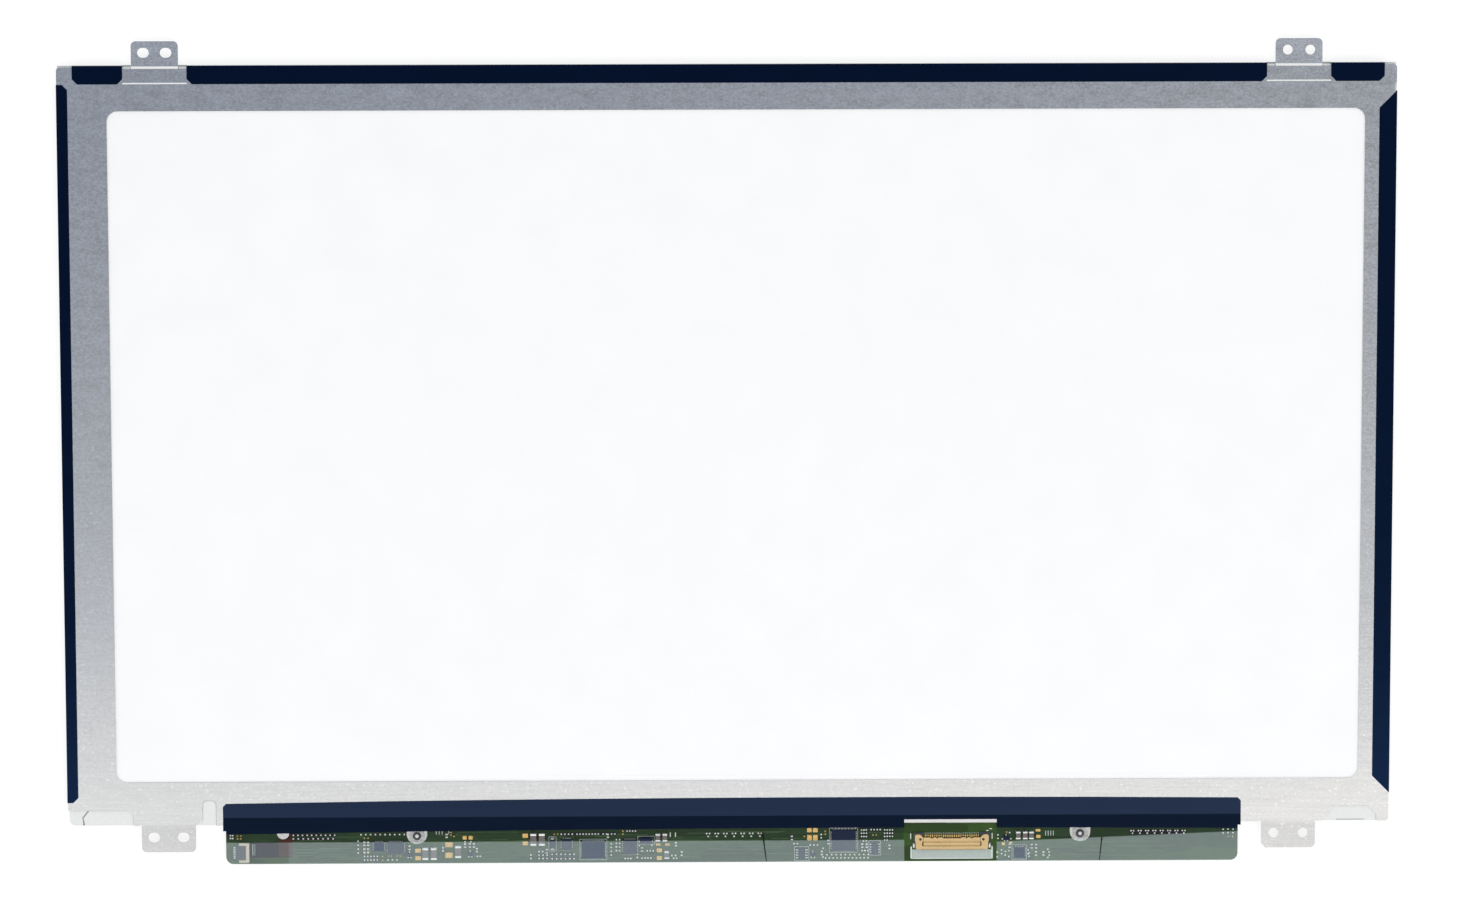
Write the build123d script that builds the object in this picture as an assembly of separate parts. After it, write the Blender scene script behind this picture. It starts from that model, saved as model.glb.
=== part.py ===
from build123d import *
import math
import os

# Slim 15.6-inch laptop screen panel, lying face down, in millimetres.
# X runs along the long edges, Y away from the control board, Z out of the back.
# The origin is the centre of the active area on the front face.

# Glass cell
ACTIVE_WIDTH = 344.2
ACTIVE_HEIGHT = 193.5
FRONT_POLARIZER_BORDER = 1.5
REAR_POLARIZER_BORDER = 2.3
GLASS_SIDE_BORDER = 3.9
GLASS_TOP_BORDER = 2.85
GLASS_BOTTOM_BORDER = 2.45
BOND_LEDGE = 2.8
FRONT_POLARIZER_T = 0.20
COLOR_FILTER_T = 0.40
TFT_GLASS_T = 0.40
REAR_POLARIZER_T = 0.15
SEAT_TAPE_T = 0.10
SEAT_TAPE_INSET = 0.4
SEAT_TAPE_BORDER = 0.5

# Light box
LEDGE_BORDER = 1.9
SHEET_CLEARANCE = 0.2
UPPER_DIFFUSER_T = 0.10
PRISM_SHEET_T = 0.15
LOWER_DIFFUSER_T = 0.10
LIGHT_GUIDE_T = 0.70
GUIDE_BOTTOM_BORDER = 1.85
REFLECTOR_T = 0.20
REFLECTOR_STRIP_T = 0.05
REFLECTOR_STRIP_SHOW = 1.4
REFLECTOR_STRIP_LENGTH = 227.0

# Moulded frame
CELL_CLEARANCE = 0.25
FRAME_SIDE_WALL = 3.0
FRAME_TOP_WALL = 1.95
FRAME_BOTTOM_RAIL = 1.85
SHELF_T = 0.40
RAIL_FRONT_GAP = 0.05
RAIL_BAR_GAP = 0.1
CORNER_GROOVE_WIDTH = 0.4
CORNER_GROOVE_DEPTH = 1.0
CORNER_GROOVE_SLANT = 1.6
CORNER_GROOVE_KICK = 0.3
CORNER_BLOCK_WIDTH = 3.4
CORNER_BLOCK_RADIUS = 1.6
RAIL_GROOVE_LENGTH = 7.6
RAIL_GROOVE_WIDTH = 0.2
RAIL_GROOVE_DEPTH = 0.5
SLOT_BOSS_RISE = 0.2
SLOT_BOSS_GAP = 0.12

# Folded chassis
METAL_T = 0.30
FRAME_CLEARANCE = 0.10
BEND_RADIUS = 0.5
WALL_FOOT_GAP = 0.35
LIP_CLEARANCE = 0.05
BOTTOM_OVERHANG = 0.10
RECESS_CLEARANCE = 0.05
RECESS_RUN = 0.35
BOTTOM_RIM_WIDTH = 8.1
WINDOW_LEFT_MARGIN = 13.4
WINDOW_RIGHT_MARGIN = 8.5
WINDOW_TOP_MARGIN = 12.2
WINDOW_BOTTOM_MARGIN = 11.9
WINDOW_RADIUS = 3.0
PLATE_CORNER_RADIUS = 1.0

# Screw tabs
TOP_TAB_WIDTH = 12.6
TOP_TAB_REACH = 6.5
TOP_TAB_DROP = 0.5
TOP_TAB_INSET = 26.4
TOP_HOLE_SPACING = 6.05
TOP_HOLE_REACH = 3.4
TOP_ZONE_WIDTH = 17.2
TOP_ZONE_DEPTH = 4.6
TOP_ZONE_GAP = 0.75
TOP_TAB_RUN = 0.6
TAB_POCKET_GAP = 0.25
TAB_POCKET_SIDE_GAP = 0.15
BOTTOM_TAB_WIDTH = 14.7
BOTTOM_TAB_REACH = 7.3
BOTTOM_TAB_INSET = 27.4
BOTTOM_HOLE_SPACING = 8.0
BOTTOM_HOLE_REACH = 3.2
TAB_CORNER_RADIUS = 1.3
TAB_CORNER_CUT = 1.2
TAB_HOLE_RADIUS = 1.3
TAB_SLOT_LENGTH = 3.1
RELIEF_WIDTH = 0.8

# Cut-outs along the lower rim
LEFT_NOTCH_END = 17.9
LEFT_NOTCH_RADIUS = 2.0
RIGHT_NOTCH_START = 3.4
RIGHT_NOTCH_END = 17.6
NOTCH_DEPTH = 4.2
NOTCH_SLANT = 2.2
NOTCH_ROOT = 0.65
RIM_SLOT_OFFSET = 38.5
RIM_SLOT_WIDTH = 3.7
RIM_SLOT_DEPTH = 6.9
RIM_SLOT_ROOT = 1.85

# Tapes
TAPE_T = 0.10
TOP_TAPE_FLAP = 5.0
TOP_TAPE_LEFT_GAP = 4.3
TOP_TAPE_RIGHT_GAP = 3.4
LEFT_TAPE_FLAP = 3.0
LEFT_TAPE_TOP_GAP = 5.1
LEFT_TAPE_BOTTOM_GAP = 6.4
RIGHT_TAPE_FLAP = 4.7
RIGHT_TAPE_TOP_GAP = 7.6
RIGHT_TAPE_BOTTOM_GAP = 7.9
TAPE_CHAMFER = 1.4
FRONT_FLANGE_GAP = 0.4
BOTTOM_TAPE_ON_RIM = 7.1
BOTTOM_TAPE_FOLD = 2.1
BOTTOM_TAPE_WIDTH = 8.4
BOTTOM_TAPE_LEFT_SAG = 1.15
BOTTOM_TAPE_RIGHT_SAG = 0.5
BOTTOM_TAPE_OVERHANG = 0.7
BOTTOM_TAPE_CHAMFER = 0.85
BOTTOM_TAPE_STEP = 0.9
CUTOUT_RIM_SHOW = 0.9

# Light bar
LED_COUNT = 36
LED_WIDTH = 3.0
LED_DEPTH = 0.8
LED_HEIGHT = 0.6
LED_WALL = 0.15
LED_POCKET_DEPTH = 0.3
LED_GAP = 0.08
LIGHT_BAR_T = 0.15
LIGHT_BAR_GLUE_T = 0.03
LIGHT_BAR_WIDTH = 1.3
LIGHT_BAR_END_GAP = 1.2
TAIL_U = 16.25
TAIL_WIDTH = 3.7
TAIL_RAMP = 1.2
TAIL_LEG_BASE = 1.8
TAIL_LEG_HEIGHT = 4.2
TAIL_NOSE_HEIGHT = 3.6
TAIL_NOSE_GAP = 0.2
TAIL_RAMP_LEAD = 0.4

# Control board
BOARD_LEFT_GAP = 8.1
BOARD_RIGHT_GAP = 6.3
BOARD_HEIGHT = 10.5
BOARD_T = 0.80
BOARD_GAP = 0.3
BOARD_SETBACK = 0.65
BOARD_CORNER_RADIUS = 2.0
TALLEST_PART = 1.0
FILM_T = 0.07
FILM_CREASE = 6.1
FILM_EDGE = 0.1
SLIT_HEAD_WIDTH = 0.5
SLIT_FOOT_WIDTH = 0.2
LEFT_SLIT_U = (145.7, 147.1)
RIGHT_SLIT_U = (238.9, 237.8)

# Source driver films
DRIVER_COUNT = 4
DRIVER_FILM_WIDTH = 34.0
DRIVER_EAR_GAP = 1.1
DRIVER_FILM_T = 0.08
DRIVER_BOND = 1.4
DRIVER_CHIP_LENGTH = 17.0
DRIVER_CHIP_WIDTH = 1.1
DRIVER_CHIP_T = 0.30
FRONT_TAPE_LIFT = 0.06

# Tongues over the board and the pegs that place it
SMALL_TONGUE_U = 15.55
LEFT_TONGUE_U = 51.95
RIGHT_TONGUE_U = 232.55
TONGUE_WIDTH = 5.6
TONGUE_REACH = 5.4
TONGUE_RAMP = 1.2
TONGUE_HOLE_RADIUS = 1.15
TONGUE_HOLE_REACH = 3.2
SMALL_TONGUE_WIDTH = 3.3
SMALL_TONGUE_REACH = 3.9
PEG_RADIUS = 0.75
PEG_CLEARANCE = 0.12
PEG_RISE = 0.3
EAR_T = 0.30
EAR_REACH = 5.2
EAR_WIDTH = 5.2

# Signal connector
SIGNAL_U = 197.6
SIGNAL_V = 5.35
SIGNAL_LENGTH = 20.1
SIGNAL_DEPTH = 4.2
SIGNAL_CORE = 15.5
SIGNAL_SETBACK = 0.75
SIGNAL_TOOTH = 0.25
SIGNAL_SHELL_T = 0.12
SIGNAL_PINS = 30
SIGNAL_PITCH = 0.5
SIGNAL_PIN_WIDTH = 0.2
SIGNAL_TAIL = 0.65
SIGNAL_LIP_DROP = 0.35
SIGNAL_FLOOR_T = 0.25
SIGNAL_EAR_HOLE = 0.36
SIGNAL_WING = 0.5
CUTOUT_U = 197.2
CUTOUT_LENGTH = 25.2

# Backlight connector
LIGHT_U = 4.45
LIGHT_V = 3.15
LIGHT_LENGTH = 5.3
LIGHT_BODY_DEPTH = 3.7
LIGHT_BODY_H = 0.80
LIGHT_LOCK_DEPTH = 0.9
LIGHT_LOCK_ARM = 0.65
LIGHT_LOCK_H = 0.70
LIGHT_PINS = 7
LIGHT_PIN_PITCH = 0.5
LIGHT_PIN_WIDTH = 0.22
LIGHT_PIN_TAIL = 0.6
LIGHT_PIN_T = 0.15
SLOT_CLEARANCE = 0.04

# Chip packages on the board: length, height and how far they stand up
TIMING_CONTROLLER = (6.7, 5.8, 0.8)
GAMMA_CHIP = (6.5, 4.8, TALLEST_PART)
LEVEL_SHIFTER = (4.5, 3.3, 0.9)
LIGHT_DRIVER = (2.9, 2.6, TALLEST_PART)
POWER_CHIP = (3.8, 4.0, 0.9)
COMMON_AMPLIFIER = (3.1, 3.1, TALLEST_PART)
MEMORY_CHIP = (2.0, 3.0, 0.75)
LOAD_SWITCH = (1.9, 3.2, 0.7)
BUCK_CHIP = (2.9, 3.0, 0.85)
CHIP_CHAMFER = 0.12
LARGE_CAP = (1.6, 3.2, 0.9)
MEDIUM_CAP = (1.25, 2.0, 0.8)
SMALL_PART = (0.5, 1.0, 0.35)
SMALL_RESISTOR = (0.5, 1.0, 0.25)
TRANSISTOR = (1.3, 1.1, 0.8)
CHOKE = (3.2, 1.6, 0.95)
DIODE = (1.3, 2.4, 0.75)

# Chip places, as distances from the board's left end and lower edge
TIMING_CONTROLLER_AT = (168.1, 5.9)
GAMMA_CHIP_AT = (99.9, 3.6)
LEVEL_SHIFTER_AT = (46.2, 4.4)
LIGHT_DRIVER_AT = (41.6, 4.7)
POWER_CHIP_AT = (109.9, 4.4)
COMMON_AMPLIFIER_AT = (216.0, 2.4)
MEMORY_CHIP_AT = (156.7, 2.2)
LOAD_SWITCH_AT = (176.6, 3.7)
BUCK_CHIP_AT = (92.7, 5.1)
CHOKE_AT = (114.3, 6.1)
DIODE_AT = (88.8, 5.2)
LARGE_CAPS_AT = ((54.2, 2.7), (56.5, 2.7), (63.1, 3.2), (83.6, 6.5), (85.9, 6.5))
MEDIUM_CAPS_AT = ((117.5, 6.9), (119.4, 6.9), (119.9, 2.1), (215.7, 7.1), (217.6, 7.1), (219.3, 7.1))
SMALL_PARTS_AT = (
    (37.6, 5.5), (38.6, 5.5), (37.6, 3.6), (38.6, 3.6), (59.0, 3.9), (60.0, 7.6), (65.0, 4.9),
    (68.2, 3.6), (103.9, 7.4), (122.4, 5.0), (162.2, 2.4), (173.2, 4.4), (174.4, 4.4), (222.6, 2.0),
)
RESISTORS_AT = (
    (49.9, 4.3), (66.3, 4.9), (67.4, 4.9), (87.2, 3.2), (113.2, 3.6), (124.0, 2.4), (154.0, 6.6),
    (164.0, 5.4), (180.6, 4.0), (213.4, 4.2), (219.4, 4.0), (220.6, 4.0), (220.6, 2.0),
)
TRANSISTORS_AT = ((49.9, 2.4), (66.4, 2.6), (159.7, 2.0), (212.4, 6.4))

# Places worked out from the sizes above
active_x = ACTIVE_WIDTH / 2
active_y = ACTIVE_HEIGHT / 2

z_filter = FRONT_POLARIZER_T
z_tft = z_filter + COLOR_FILTER_T
z_rear_polarizer = z_tft + TFT_GLASS_T
z_seat = z_rear_polarizer + REAR_POLARIZER_T
z_sheets = z_seat + SEAT_TAPE_T
z_upper_prism = z_sheets + UPPER_DIFFUSER_T
z_lower_prism = z_upper_prism + PRISM_SHEET_T
z_lower_diffuser = z_lower_prism + PRISM_SHEET_T
z_guide = z_lower_diffuser + LOWER_DIFFUSER_T
z_reflector = z_guide + LIGHT_GUIDE_T
z_strip = z_reflector + REFLECTOR_T
z_plate = z_strip + REFLECTOR_STRIP_T
z_back = z_plate + METAL_T
z_recess = z_reflector + RECESS_CLEARANCE
z_rim_back = z_recess + METAL_T

glass_x = active_x + GLASS_SIDE_BORDER
glass_top = active_y + GLASS_TOP_BORDER
filter_bottom = -active_y - GLASS_BOTTOM_BORDER
tft_bottom = filter_bottom - BOND_LEDGE

pocket_x = glass_x + CELL_CLEARANCE
pocket_top = glass_top + CELL_CLEARANCE
pocket_bottom = tft_bottom - CELL_CLEARANCE
frame_x = pocket_x + FRAME_SIDE_WALL
frame_top = pocket_top + FRAME_TOP_WALL
frame_bottom = pocket_bottom - FRAME_BOTTOM_RAIL
ledge_x = active_x + LEDGE_BORDER
ledge_top = active_y + LEDGE_BORDER
sheet_x = ledge_x - SHEET_CLEARANCE
sheet_top = ledge_top - SHEET_CLEARANCE
guide_bottom = -active_y - GUIDE_BOTTOM_BORDER
shelf_edge = guide_bottom - SHEET_CLEARANCE

metal_x = frame_x + FRAME_CLEARANCE + METAL_T
metal_top = frame_top + FRAME_CLEARANCE + METAL_T
metal_bottom = frame_bottom - BOTTOM_OVERHANG
panel_x = metal_x + TAPE_T
panel_top = metal_top + TAPE_T
wall_foot = z_filter + WALL_FOOT_GAP
rim_line = metal_bottom + BOTTOM_RIM_WIDTH
zone_line = panel_top - TOP_ZONE_DEPTH
zone_edge = metal_top - TOP_ZONE_GAP

window_left = -panel_x + WINDOW_LEFT_MARGIN
window_right = panel_x - WINDOW_RIGHT_MARGIN
window_top = panel_top - WINDOW_TOP_MARGIN
window_bottom = metal_bottom + WINDOW_BOTTOM_MARGIN

top_tab_centres = (-panel_x + TOP_TAB_INSET, panel_x - TOP_TAB_INSET)
bottom_tab_centres = (-panel_x + BOTTOM_TAB_INSET, panel_x - BOTTOM_TAB_INSET)
board_left = bottom_tab_centres[0] + BOTTOM_TAB_WIDTH / 2 + BOARD_LEFT_GAP
board_right = bottom_tab_centres[1] - BOTTOM_TAB_WIDTH / 2 - BOARD_RIGHT_GAP
board_top = metal_bottom - BOARD_GAP
board_bottom = board_top - BOARD_HEIGHT
z_board = z_tft + BOARD_SETBACK
z_board_back = z_board + BOARD_T
z_film = z_board_back + TALLEST_PART
z_film_back = z_film + FILM_T
rail_front = z_board + RAIL_FRONT_GAP
z_top_tab = z_rim_back - TOP_TAB_DROP
cutout_left = board_left + CUTOUT_U - CUTOUT_LENGTH / 2
cutout_right = board_left + CUTOUT_U + CUTOUT_LENGTH / 2
slot_x = -panel_x + RIM_SLOT_OFFSET
slot_top = metal_bottom + RIM_SLOT_DEPTH


def block(x0, x1, y0, y1, z0, z1):
    """Rectangular solid between two opposite corners."""
    return Pos((x0 + x1) / 2, (y0 + y1) / 2, (z0 + z1) / 2) * Box(x1 - x0, y1 - y0, z1 - z0)


def sheet_profile(points, thickness, radius=None):
    """Section of a bent sheet: the points run along one face, the sheet lies to their right."""
    path = FilletPolyline(*points, radius=radius) if radius else Polyline(*points)
    return make_face(offset(path, thickness, kind=Kind.INTERSECTION, side=Side.RIGHT, closed=True))


def sheet_along_x(points, thickness, x0, x1, radius=None):
    """Bent sheet with a side profile of (y, z) points, carried from x0 to x1."""
    return extrude(Plane.YZ.offset(x0) * sheet_profile(points, thickness, radius), x1 - x0)


def sheet_along_y(points, thickness, y0, y1, radius=None):
    """Bent sheet with an end profile of (x, z) points, carried from y1 down to y0."""
    return extrude(Plane.XZ.offset(-y1) * sheet_profile(points, thickness, radius), y1 - y0)


def on_board(place, size):
    """Plain block of (length, height, rise) standing on the board at (u, v)."""
    length, height, rise = size
    centre = Pos(board_left + place[0], board_bottom + place[1], z_board_back + rise / 2)
    return centre * Box(length, height, rise)


def chip(place, size):
    """Moulded chip package: a block with its upper edges chamfered."""
    body = on_board(place, size)
    return chamfer(body.faces().sort_by(Axis.Z)[-1].edges(), CHIP_CHAMFER)


def group(solids):
    """Like pieces kept as separate solids of one node."""
    return Compound(children=[solid for part in solids for solid in part.solids()])


# Glass cell
def front_polarizer():
    x = active_x + FRONT_POLARIZER_BORDER
    y = active_y + FRONT_POLARIZER_BORDER
    return block(-x, x, -y, y, 0, z_filter)


def color_filter_glass():
    return block(-glass_x, glass_x, filter_bottom, glass_top, z_filter, z_tft)


def tft_glass():
    return block(-glass_x, glass_x, tft_bottom, glass_top, z_tft, z_rear_polarizer)


def rear_polarizer():
    x = active_x + REAR_POLARIZER_BORDER
    y = active_y + REAR_POLARIZER_BORDER
    return block(-x, x, -y, y, z_rear_polarizer, z_seat)


def cell_seat_tape():
    """Frame of thin tape between the cell and the ledge, open over the active area."""
    x = glass_x - SEAT_TAPE_INSET
    outer = block(-x, x, pocket_bottom + SEAT_TAPE_INSET, glass_top - SEAT_TAPE_INSET, z_seat, z_sheets)
    inner_x = active_x + SEAT_TAPE_BORDER
    inner_y = active_y + SEAT_TAPE_BORDER
    return outer - block(-inner_x, inner_x, -inner_y, inner_y, z_seat, z_sheets)


def driver_centres():
    """Centres of the driver films along X: the end ones just outside the frame's ears, evenly spaced."""
    beside = (EAR_WIDTH + DRIVER_FILM_WIDTH) / 2 + DRIVER_EAR_GAP
    first = board_left + LEFT_TONGUE_U - beside
    last = board_left + RIGHT_TONGUE_U + beside
    pitch = (last - first) / (DRIVER_COUNT - 1)
    return [first + pitch * index for index in range(DRIVER_COUNT)]


# The driver films run from the glass ledge to the board's front face in a ramp.
ramp_start = (tft_bottom - CELL_CLEARANCE, z_tft)
ramp_end = (board_top + 2 * CELL_CLEARANCE, z_board)


def source_driver_films():
    bond_top = (tft_bottom + DRIVER_BOND, z_tft)
    bond_board = (board_top - DRIVER_BOND, z_board)
    path = [bond_board, ramp_end, ramp_start, bond_top]
    half = DRIVER_FILM_WIDTH / 2
    return group(sheet_along_x(path, DRIVER_FILM_T, x - half, x + half) for x in driver_centres())


def ramp_point(along, depth):
    """Point a distance along the ramp from its middle, and a depth out of its front face."""
    run = ramp_end[0] - ramp_start[0]
    rise = ramp_end[1] - ramp_start[1]
    length = math.hypot(run, rise)
    y = (ramp_start[0] + ramp_end[0]) / 2 + (along * run - depth * rise) / length
    z = (ramp_start[1] + ramp_end[1]) / 2 + (along * rise + depth * run) / length
    return (y, z)


def source_driver_chips():
    """Bare driver chips lying on the front of the ramps."""
    half = DRIVER_CHIP_WIDTH / 2
    near = DRIVER_FILM_T
    far = DRIVER_FILM_T + DRIVER_CHIP_T
    corners = [ramp_point(-half, near), ramp_point(half, near), ramp_point(half, far), ramp_point(-half, far)]
    outline = make_face(Polyline(*corners, close=True))
    chips = []
    for x in driver_centres():
        start = x - DRIVER_CHIP_LENGTH / 2
        chips.append(extrude(Plane.YZ.offset(start) * outline, DRIVER_CHIP_LENGTH))
    return group(chips)


def bottom_front_tape():
    """Black tape from the lower border of the cell over the driver chips."""
    lift = DRIVER_FILM_T + DRIVER_CHIP_T + FRONT_TAPE_LIFT
    top_edge = -active_y - FRONT_POLARIZER_BORDER - FRONT_FLANGE_GAP
    turn = (ramp_point(-DRIVER_CHIP_WIDTH, lift)[0], z_filter)
    foot = ramp_point(DRIVER_CHIP_WIDTH / 2, lift)
    half = glass_x - SEAT_TAPE_INSET
    return sheet_along_x([foot, turn, (top_edge, z_filter)], TAPE_T, -half, half)


# Light box
def light_sheet(z, thickness, bottom):
    return block(-sheet_x, sheet_x, bottom, sheet_top, z, z + thickness)


def reflector_sheet():
    """White sheet behind the light guide, kept clear of the recessed rims."""
    top = zone_line - RECESS_RUN - SHEET_CLEARANCE
    bottom = rim_line + RECESS_RUN + SHEET_CLEARANCE
    return block(-sheet_x, sheet_x, bottom, top, z_reflector, z_strip)


def reflector_edge_strip():
    """White adhesive strip on the reflector, showing along part of the window's lower edge."""
    right = window_right + SHEET_CLEARANCE
    bottom = rim_line + RECESS_RUN + SHEET_CLEARANCE
    top = window_bottom + REFLECTOR_STRIP_SHOW
    return block(right - REFLECTOR_STRIP_LENGTH, right, bottom, top, z_strip, z_plate)


tail_centre = board_left + TAIL_U
bar_top = guide_bottom - LED_GAP
bar_bottom = bar_top - LIGHT_BAR_WIDTH
z_bar_back = z_recess - LIGHT_BAR_GLUE_T
z_bar = z_bar_back - LIGHT_BAR_T


def light_bar_flex():
    """Flexible strip under the lower rim, with an L-shaped tail that drops onto the board."""
    half = sheet_x - LIGHT_BAR_END_GAP
    strip = block(-half, half, bar_bottom, bar_top, z_bar, z_bar_back)
    leg_bottom = board_bottom + TAIL_LEG_BASE
    leg_top = leg_bottom + TAIL_LEG_HEIGHT
    z_leg = z_board_back + LIGHT_BAR_T
    lead = metal_bottom + TAIL_RAMP_LEAD
    path = [(leg_bottom, z_leg), (lead - TAIL_RAMP, z_leg), (lead, z_bar_back), (bar_top, z_bar_back)]
    left = tail_centre - TAIL_WIDTH / 2
    right = tail_centre + TAIL_WIDTH / 2
    drop = sheet_along_x(path, LIGHT_BAR_T, left, right)
    lock_edge = board_left + LIGHT_U + LIGHT_BODY_DEPTH / 2
    leg = block(lock_edge + TAIL_NOSE_GAP, right, leg_bottom, leg_top, z_board_back, z_leg)
    nose_y = board_bottom + LIGHT_V
    nose_half = TAIL_NOSE_HEIGHT / 2
    nose = block(lock_edge - LIGHT_LOCK_DEPTH, lock_edge + TAIL_NOSE_GAP,
                 nose_y - nose_half, nose_y + nose_half, z_board_back, z_leg)
    return strip + drop + leg + nose


def led_centres():
    pitch = ACTIVE_WIDTH / LED_COUNT
    return [-active_x + pitch * (index + 0.5) for index in range(LED_COUNT)]


def led_pocket(x):
    """The open pocket in a diode's face, filled with phosphor."""
    half = LED_WIDTH / 2 - LED_WALL
    front = z_bar - LED_HEIGHT + LED_WALL
    return block(x - half, x + half, bar_top - LED_POCKET_DEPTH, bar_top, front, z_bar - LED_WALL)


def leds():
    half = LED_WIDTH / 2
    bodies = []
    for x in led_centres():
        body = block(x - half, x + half, bar_top - LED_DEPTH, bar_top, z_bar - LED_HEIGHT, z_bar)
        bodies.append(body - led_pocket(x))
    return group(bodies)


def led_phosphors():
    return group(led_pocket(x) for x in led_centres())


# Moulded frame
def corner_groove():
    """Crooked groove that parts the lower left corner block from the rail."""
    inner = -frame_x + CORNER_BLOCK_WIDTH
    knee = frame_bottom + (NOTCH_DEPTH + CORNER_GROOVE_KICK) / 2
    head = frame_bottom + NOTCH_DEPTH
    path = [(inner + CORNER_GROOVE_SLANT, head), (inner, knee), (inner + CORNER_GROOVE_KICK, frame_bottom)]
    outline = make_face(offset(Polyline(*path), CORNER_GROOVE_WIDTH, side=Side.LEFT, closed=True))
    return extrude(Pos(0, 0, z_recess - CORNER_GROOVE_DEPTH) * outline, CORNER_GROOVE_DEPTH, dir=(0, 0, 1))


def rail_groove():
    """Fine groove near the rail's lower edge, showing in the right notch."""
    centre = panel_x - (RIGHT_NOTCH_START + RIGHT_NOTCH_END) / 2
    low = frame_bottom + RAIL_GROOVE_WIDTH
    half = RAIL_GROOVE_LENGTH / 2
    return block(centre - half, centre + half, low, low + RAIL_GROOVE_WIDTH,
                 z_recess - RAIL_GROOVE_DEPTH, z_recess)


def slot_boss():
    """Low boss of the frame that stands in the rim's round-headed slot, over the light bar's end."""
    half = RIM_SLOT_WIDTH / 2 - SLOT_BOSS_GAP
    head = slot_top - SLOT_BOSS_GAP
    boss = block(slot_x - half, slot_x + half, frame_bottom, head, z_recess, z_recess + SLOT_BOSS_RISE)
    corners = boss.edges().filter_by(Axis.Z).sort_by(Axis.Y)[-2:]
    return fillet(corners, RIM_SLOT_WIDTH / 3 - SLOT_BOSS_GAP)


def ear_places():
    """Points under the two large tongues, where ears of the frame carry the board."""
    y = metal_bottom - TONGUE_HOLE_REACH
    return [(board_left + u, y) for u in (LEFT_TONGUE_U, RIGHT_TONGUE_U)]


def mold_frame():
    """White moulded ring: cell pocket, ledge, shelf over the diodes, slot boss and two board ears."""
    ring = block(-frame_x, frame_x, frame_bottom, frame_top, z_filter, z_recess)
    ring = fillet(upright_edge(ring, -frame_x, frame_bottom), CORNER_BLOCK_RADIUS)
    ring += block(-metal_x, metal_x, rim_line, metal_top, z_filter, wall_foot - LIP_CLEARANCE)
    ring -= block(-pocket_x, pocket_x, pocket_bottom, pocket_top, z_filter, z_sheets)
    ring -= block(-ledge_x, ledge_x, shelf_edge, ledge_top, z_sheets, z_recess)
    rail_edge = bar_bottom - RAIL_BAR_GAP
    ring -= block(-ledge_x, ledge_x, rail_edge, ledge_top, z_sheets + SHELF_T, z_recess)
    ring -= block(-pocket_x, pocket_x, frame_bottom, pocket_bottom, z_filter, rail_front)
    tail_half = TAIL_WIDTH / 2 + SHEET_CLEARANCE
    tail_depth = LIGHT_BAR_T + RAIL_FRONT_GAP + TAIL_RAMP_LEAD * (z_recess - z_board_back) / TAIL_RAMP
    ring -= block(tail_centre - tail_half, tail_centre + tail_half, frame_bottom, rail_edge,
                  z_recess - tail_depth, z_recess)
    ring -= corner_groove()
    ring -= rail_groove()
    ring += slot_boss()
    for x in top_tab_centres:
        half = TOP_TAB_WIDTH / 2 + TAB_POCKET_SIDE_GAP
        ring -= block(x - half, x + half, zone_edge - TAB_POCKET_GAP, metal_top,
                      z_top_tab - METAL_T - FRAME_CLEARANCE, z_recess)
    for x, y in ear_places():
        half = EAR_WIDTH / 2
        root = (frame_bottom + pocket_bottom) / 2
        ring += block(x - half, x + half, metal_bottom - EAR_REACH, root, z_board - EAR_T, z_board)
        ring += block(x - half, x + half, frame_bottom, root, z_board - EAR_T, rail_front)
        peg_top = z_board_back + METAL_T + PEG_RISE
        ring += Pos(x, y, (z_board + peg_top) / 2) * Cylinder(PEG_RADIUS, peg_top - z_board)
    return ring


# Folded chassis
def tab_outline(x, width, root, tip, cut_corner=False):
    """Flat tab from a root line to a tip, its outer corners rounded or the left one cut at 45 degrees."""
    face = Pos(x, (root + tip) / 2) * Rectangle(width, abs(tip - root))
    left = face.vertices().sort_by_distance((x - width / 2, tip, 0))[:1]
    if cut_corner:
        face = chamfer(left, TAB_CORNER_CUT)
    else:
        face = fillet(left, TAB_CORNER_RADIUS)
    right = face.vertices().sort_by_distance((x + width / 2, tip, 0))[:1]
    return fillet(right, TAB_CORNER_RADIUS)


def tab_holes(x, y, spacing, slotted):
    """Two screw holes on a line along X: slots on the left tabs, round holes on the right."""
    holes = Sketch()
    for side in (-1, 1):
        if slotted:
            shape = SlotOverall(TAB_SLOT_LENGTH, 2 * TAB_HOLE_RADIUS)
        else:
            shape = Circle(TAB_HOLE_RADIUS)
        holes += Pos(x + side * spacing / 2, y) * shape
    return holes


def through(sketch):
    """Cutter through the full depth of the chassis."""
    return extrude(sketch, z_back + METAL_T)


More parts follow.
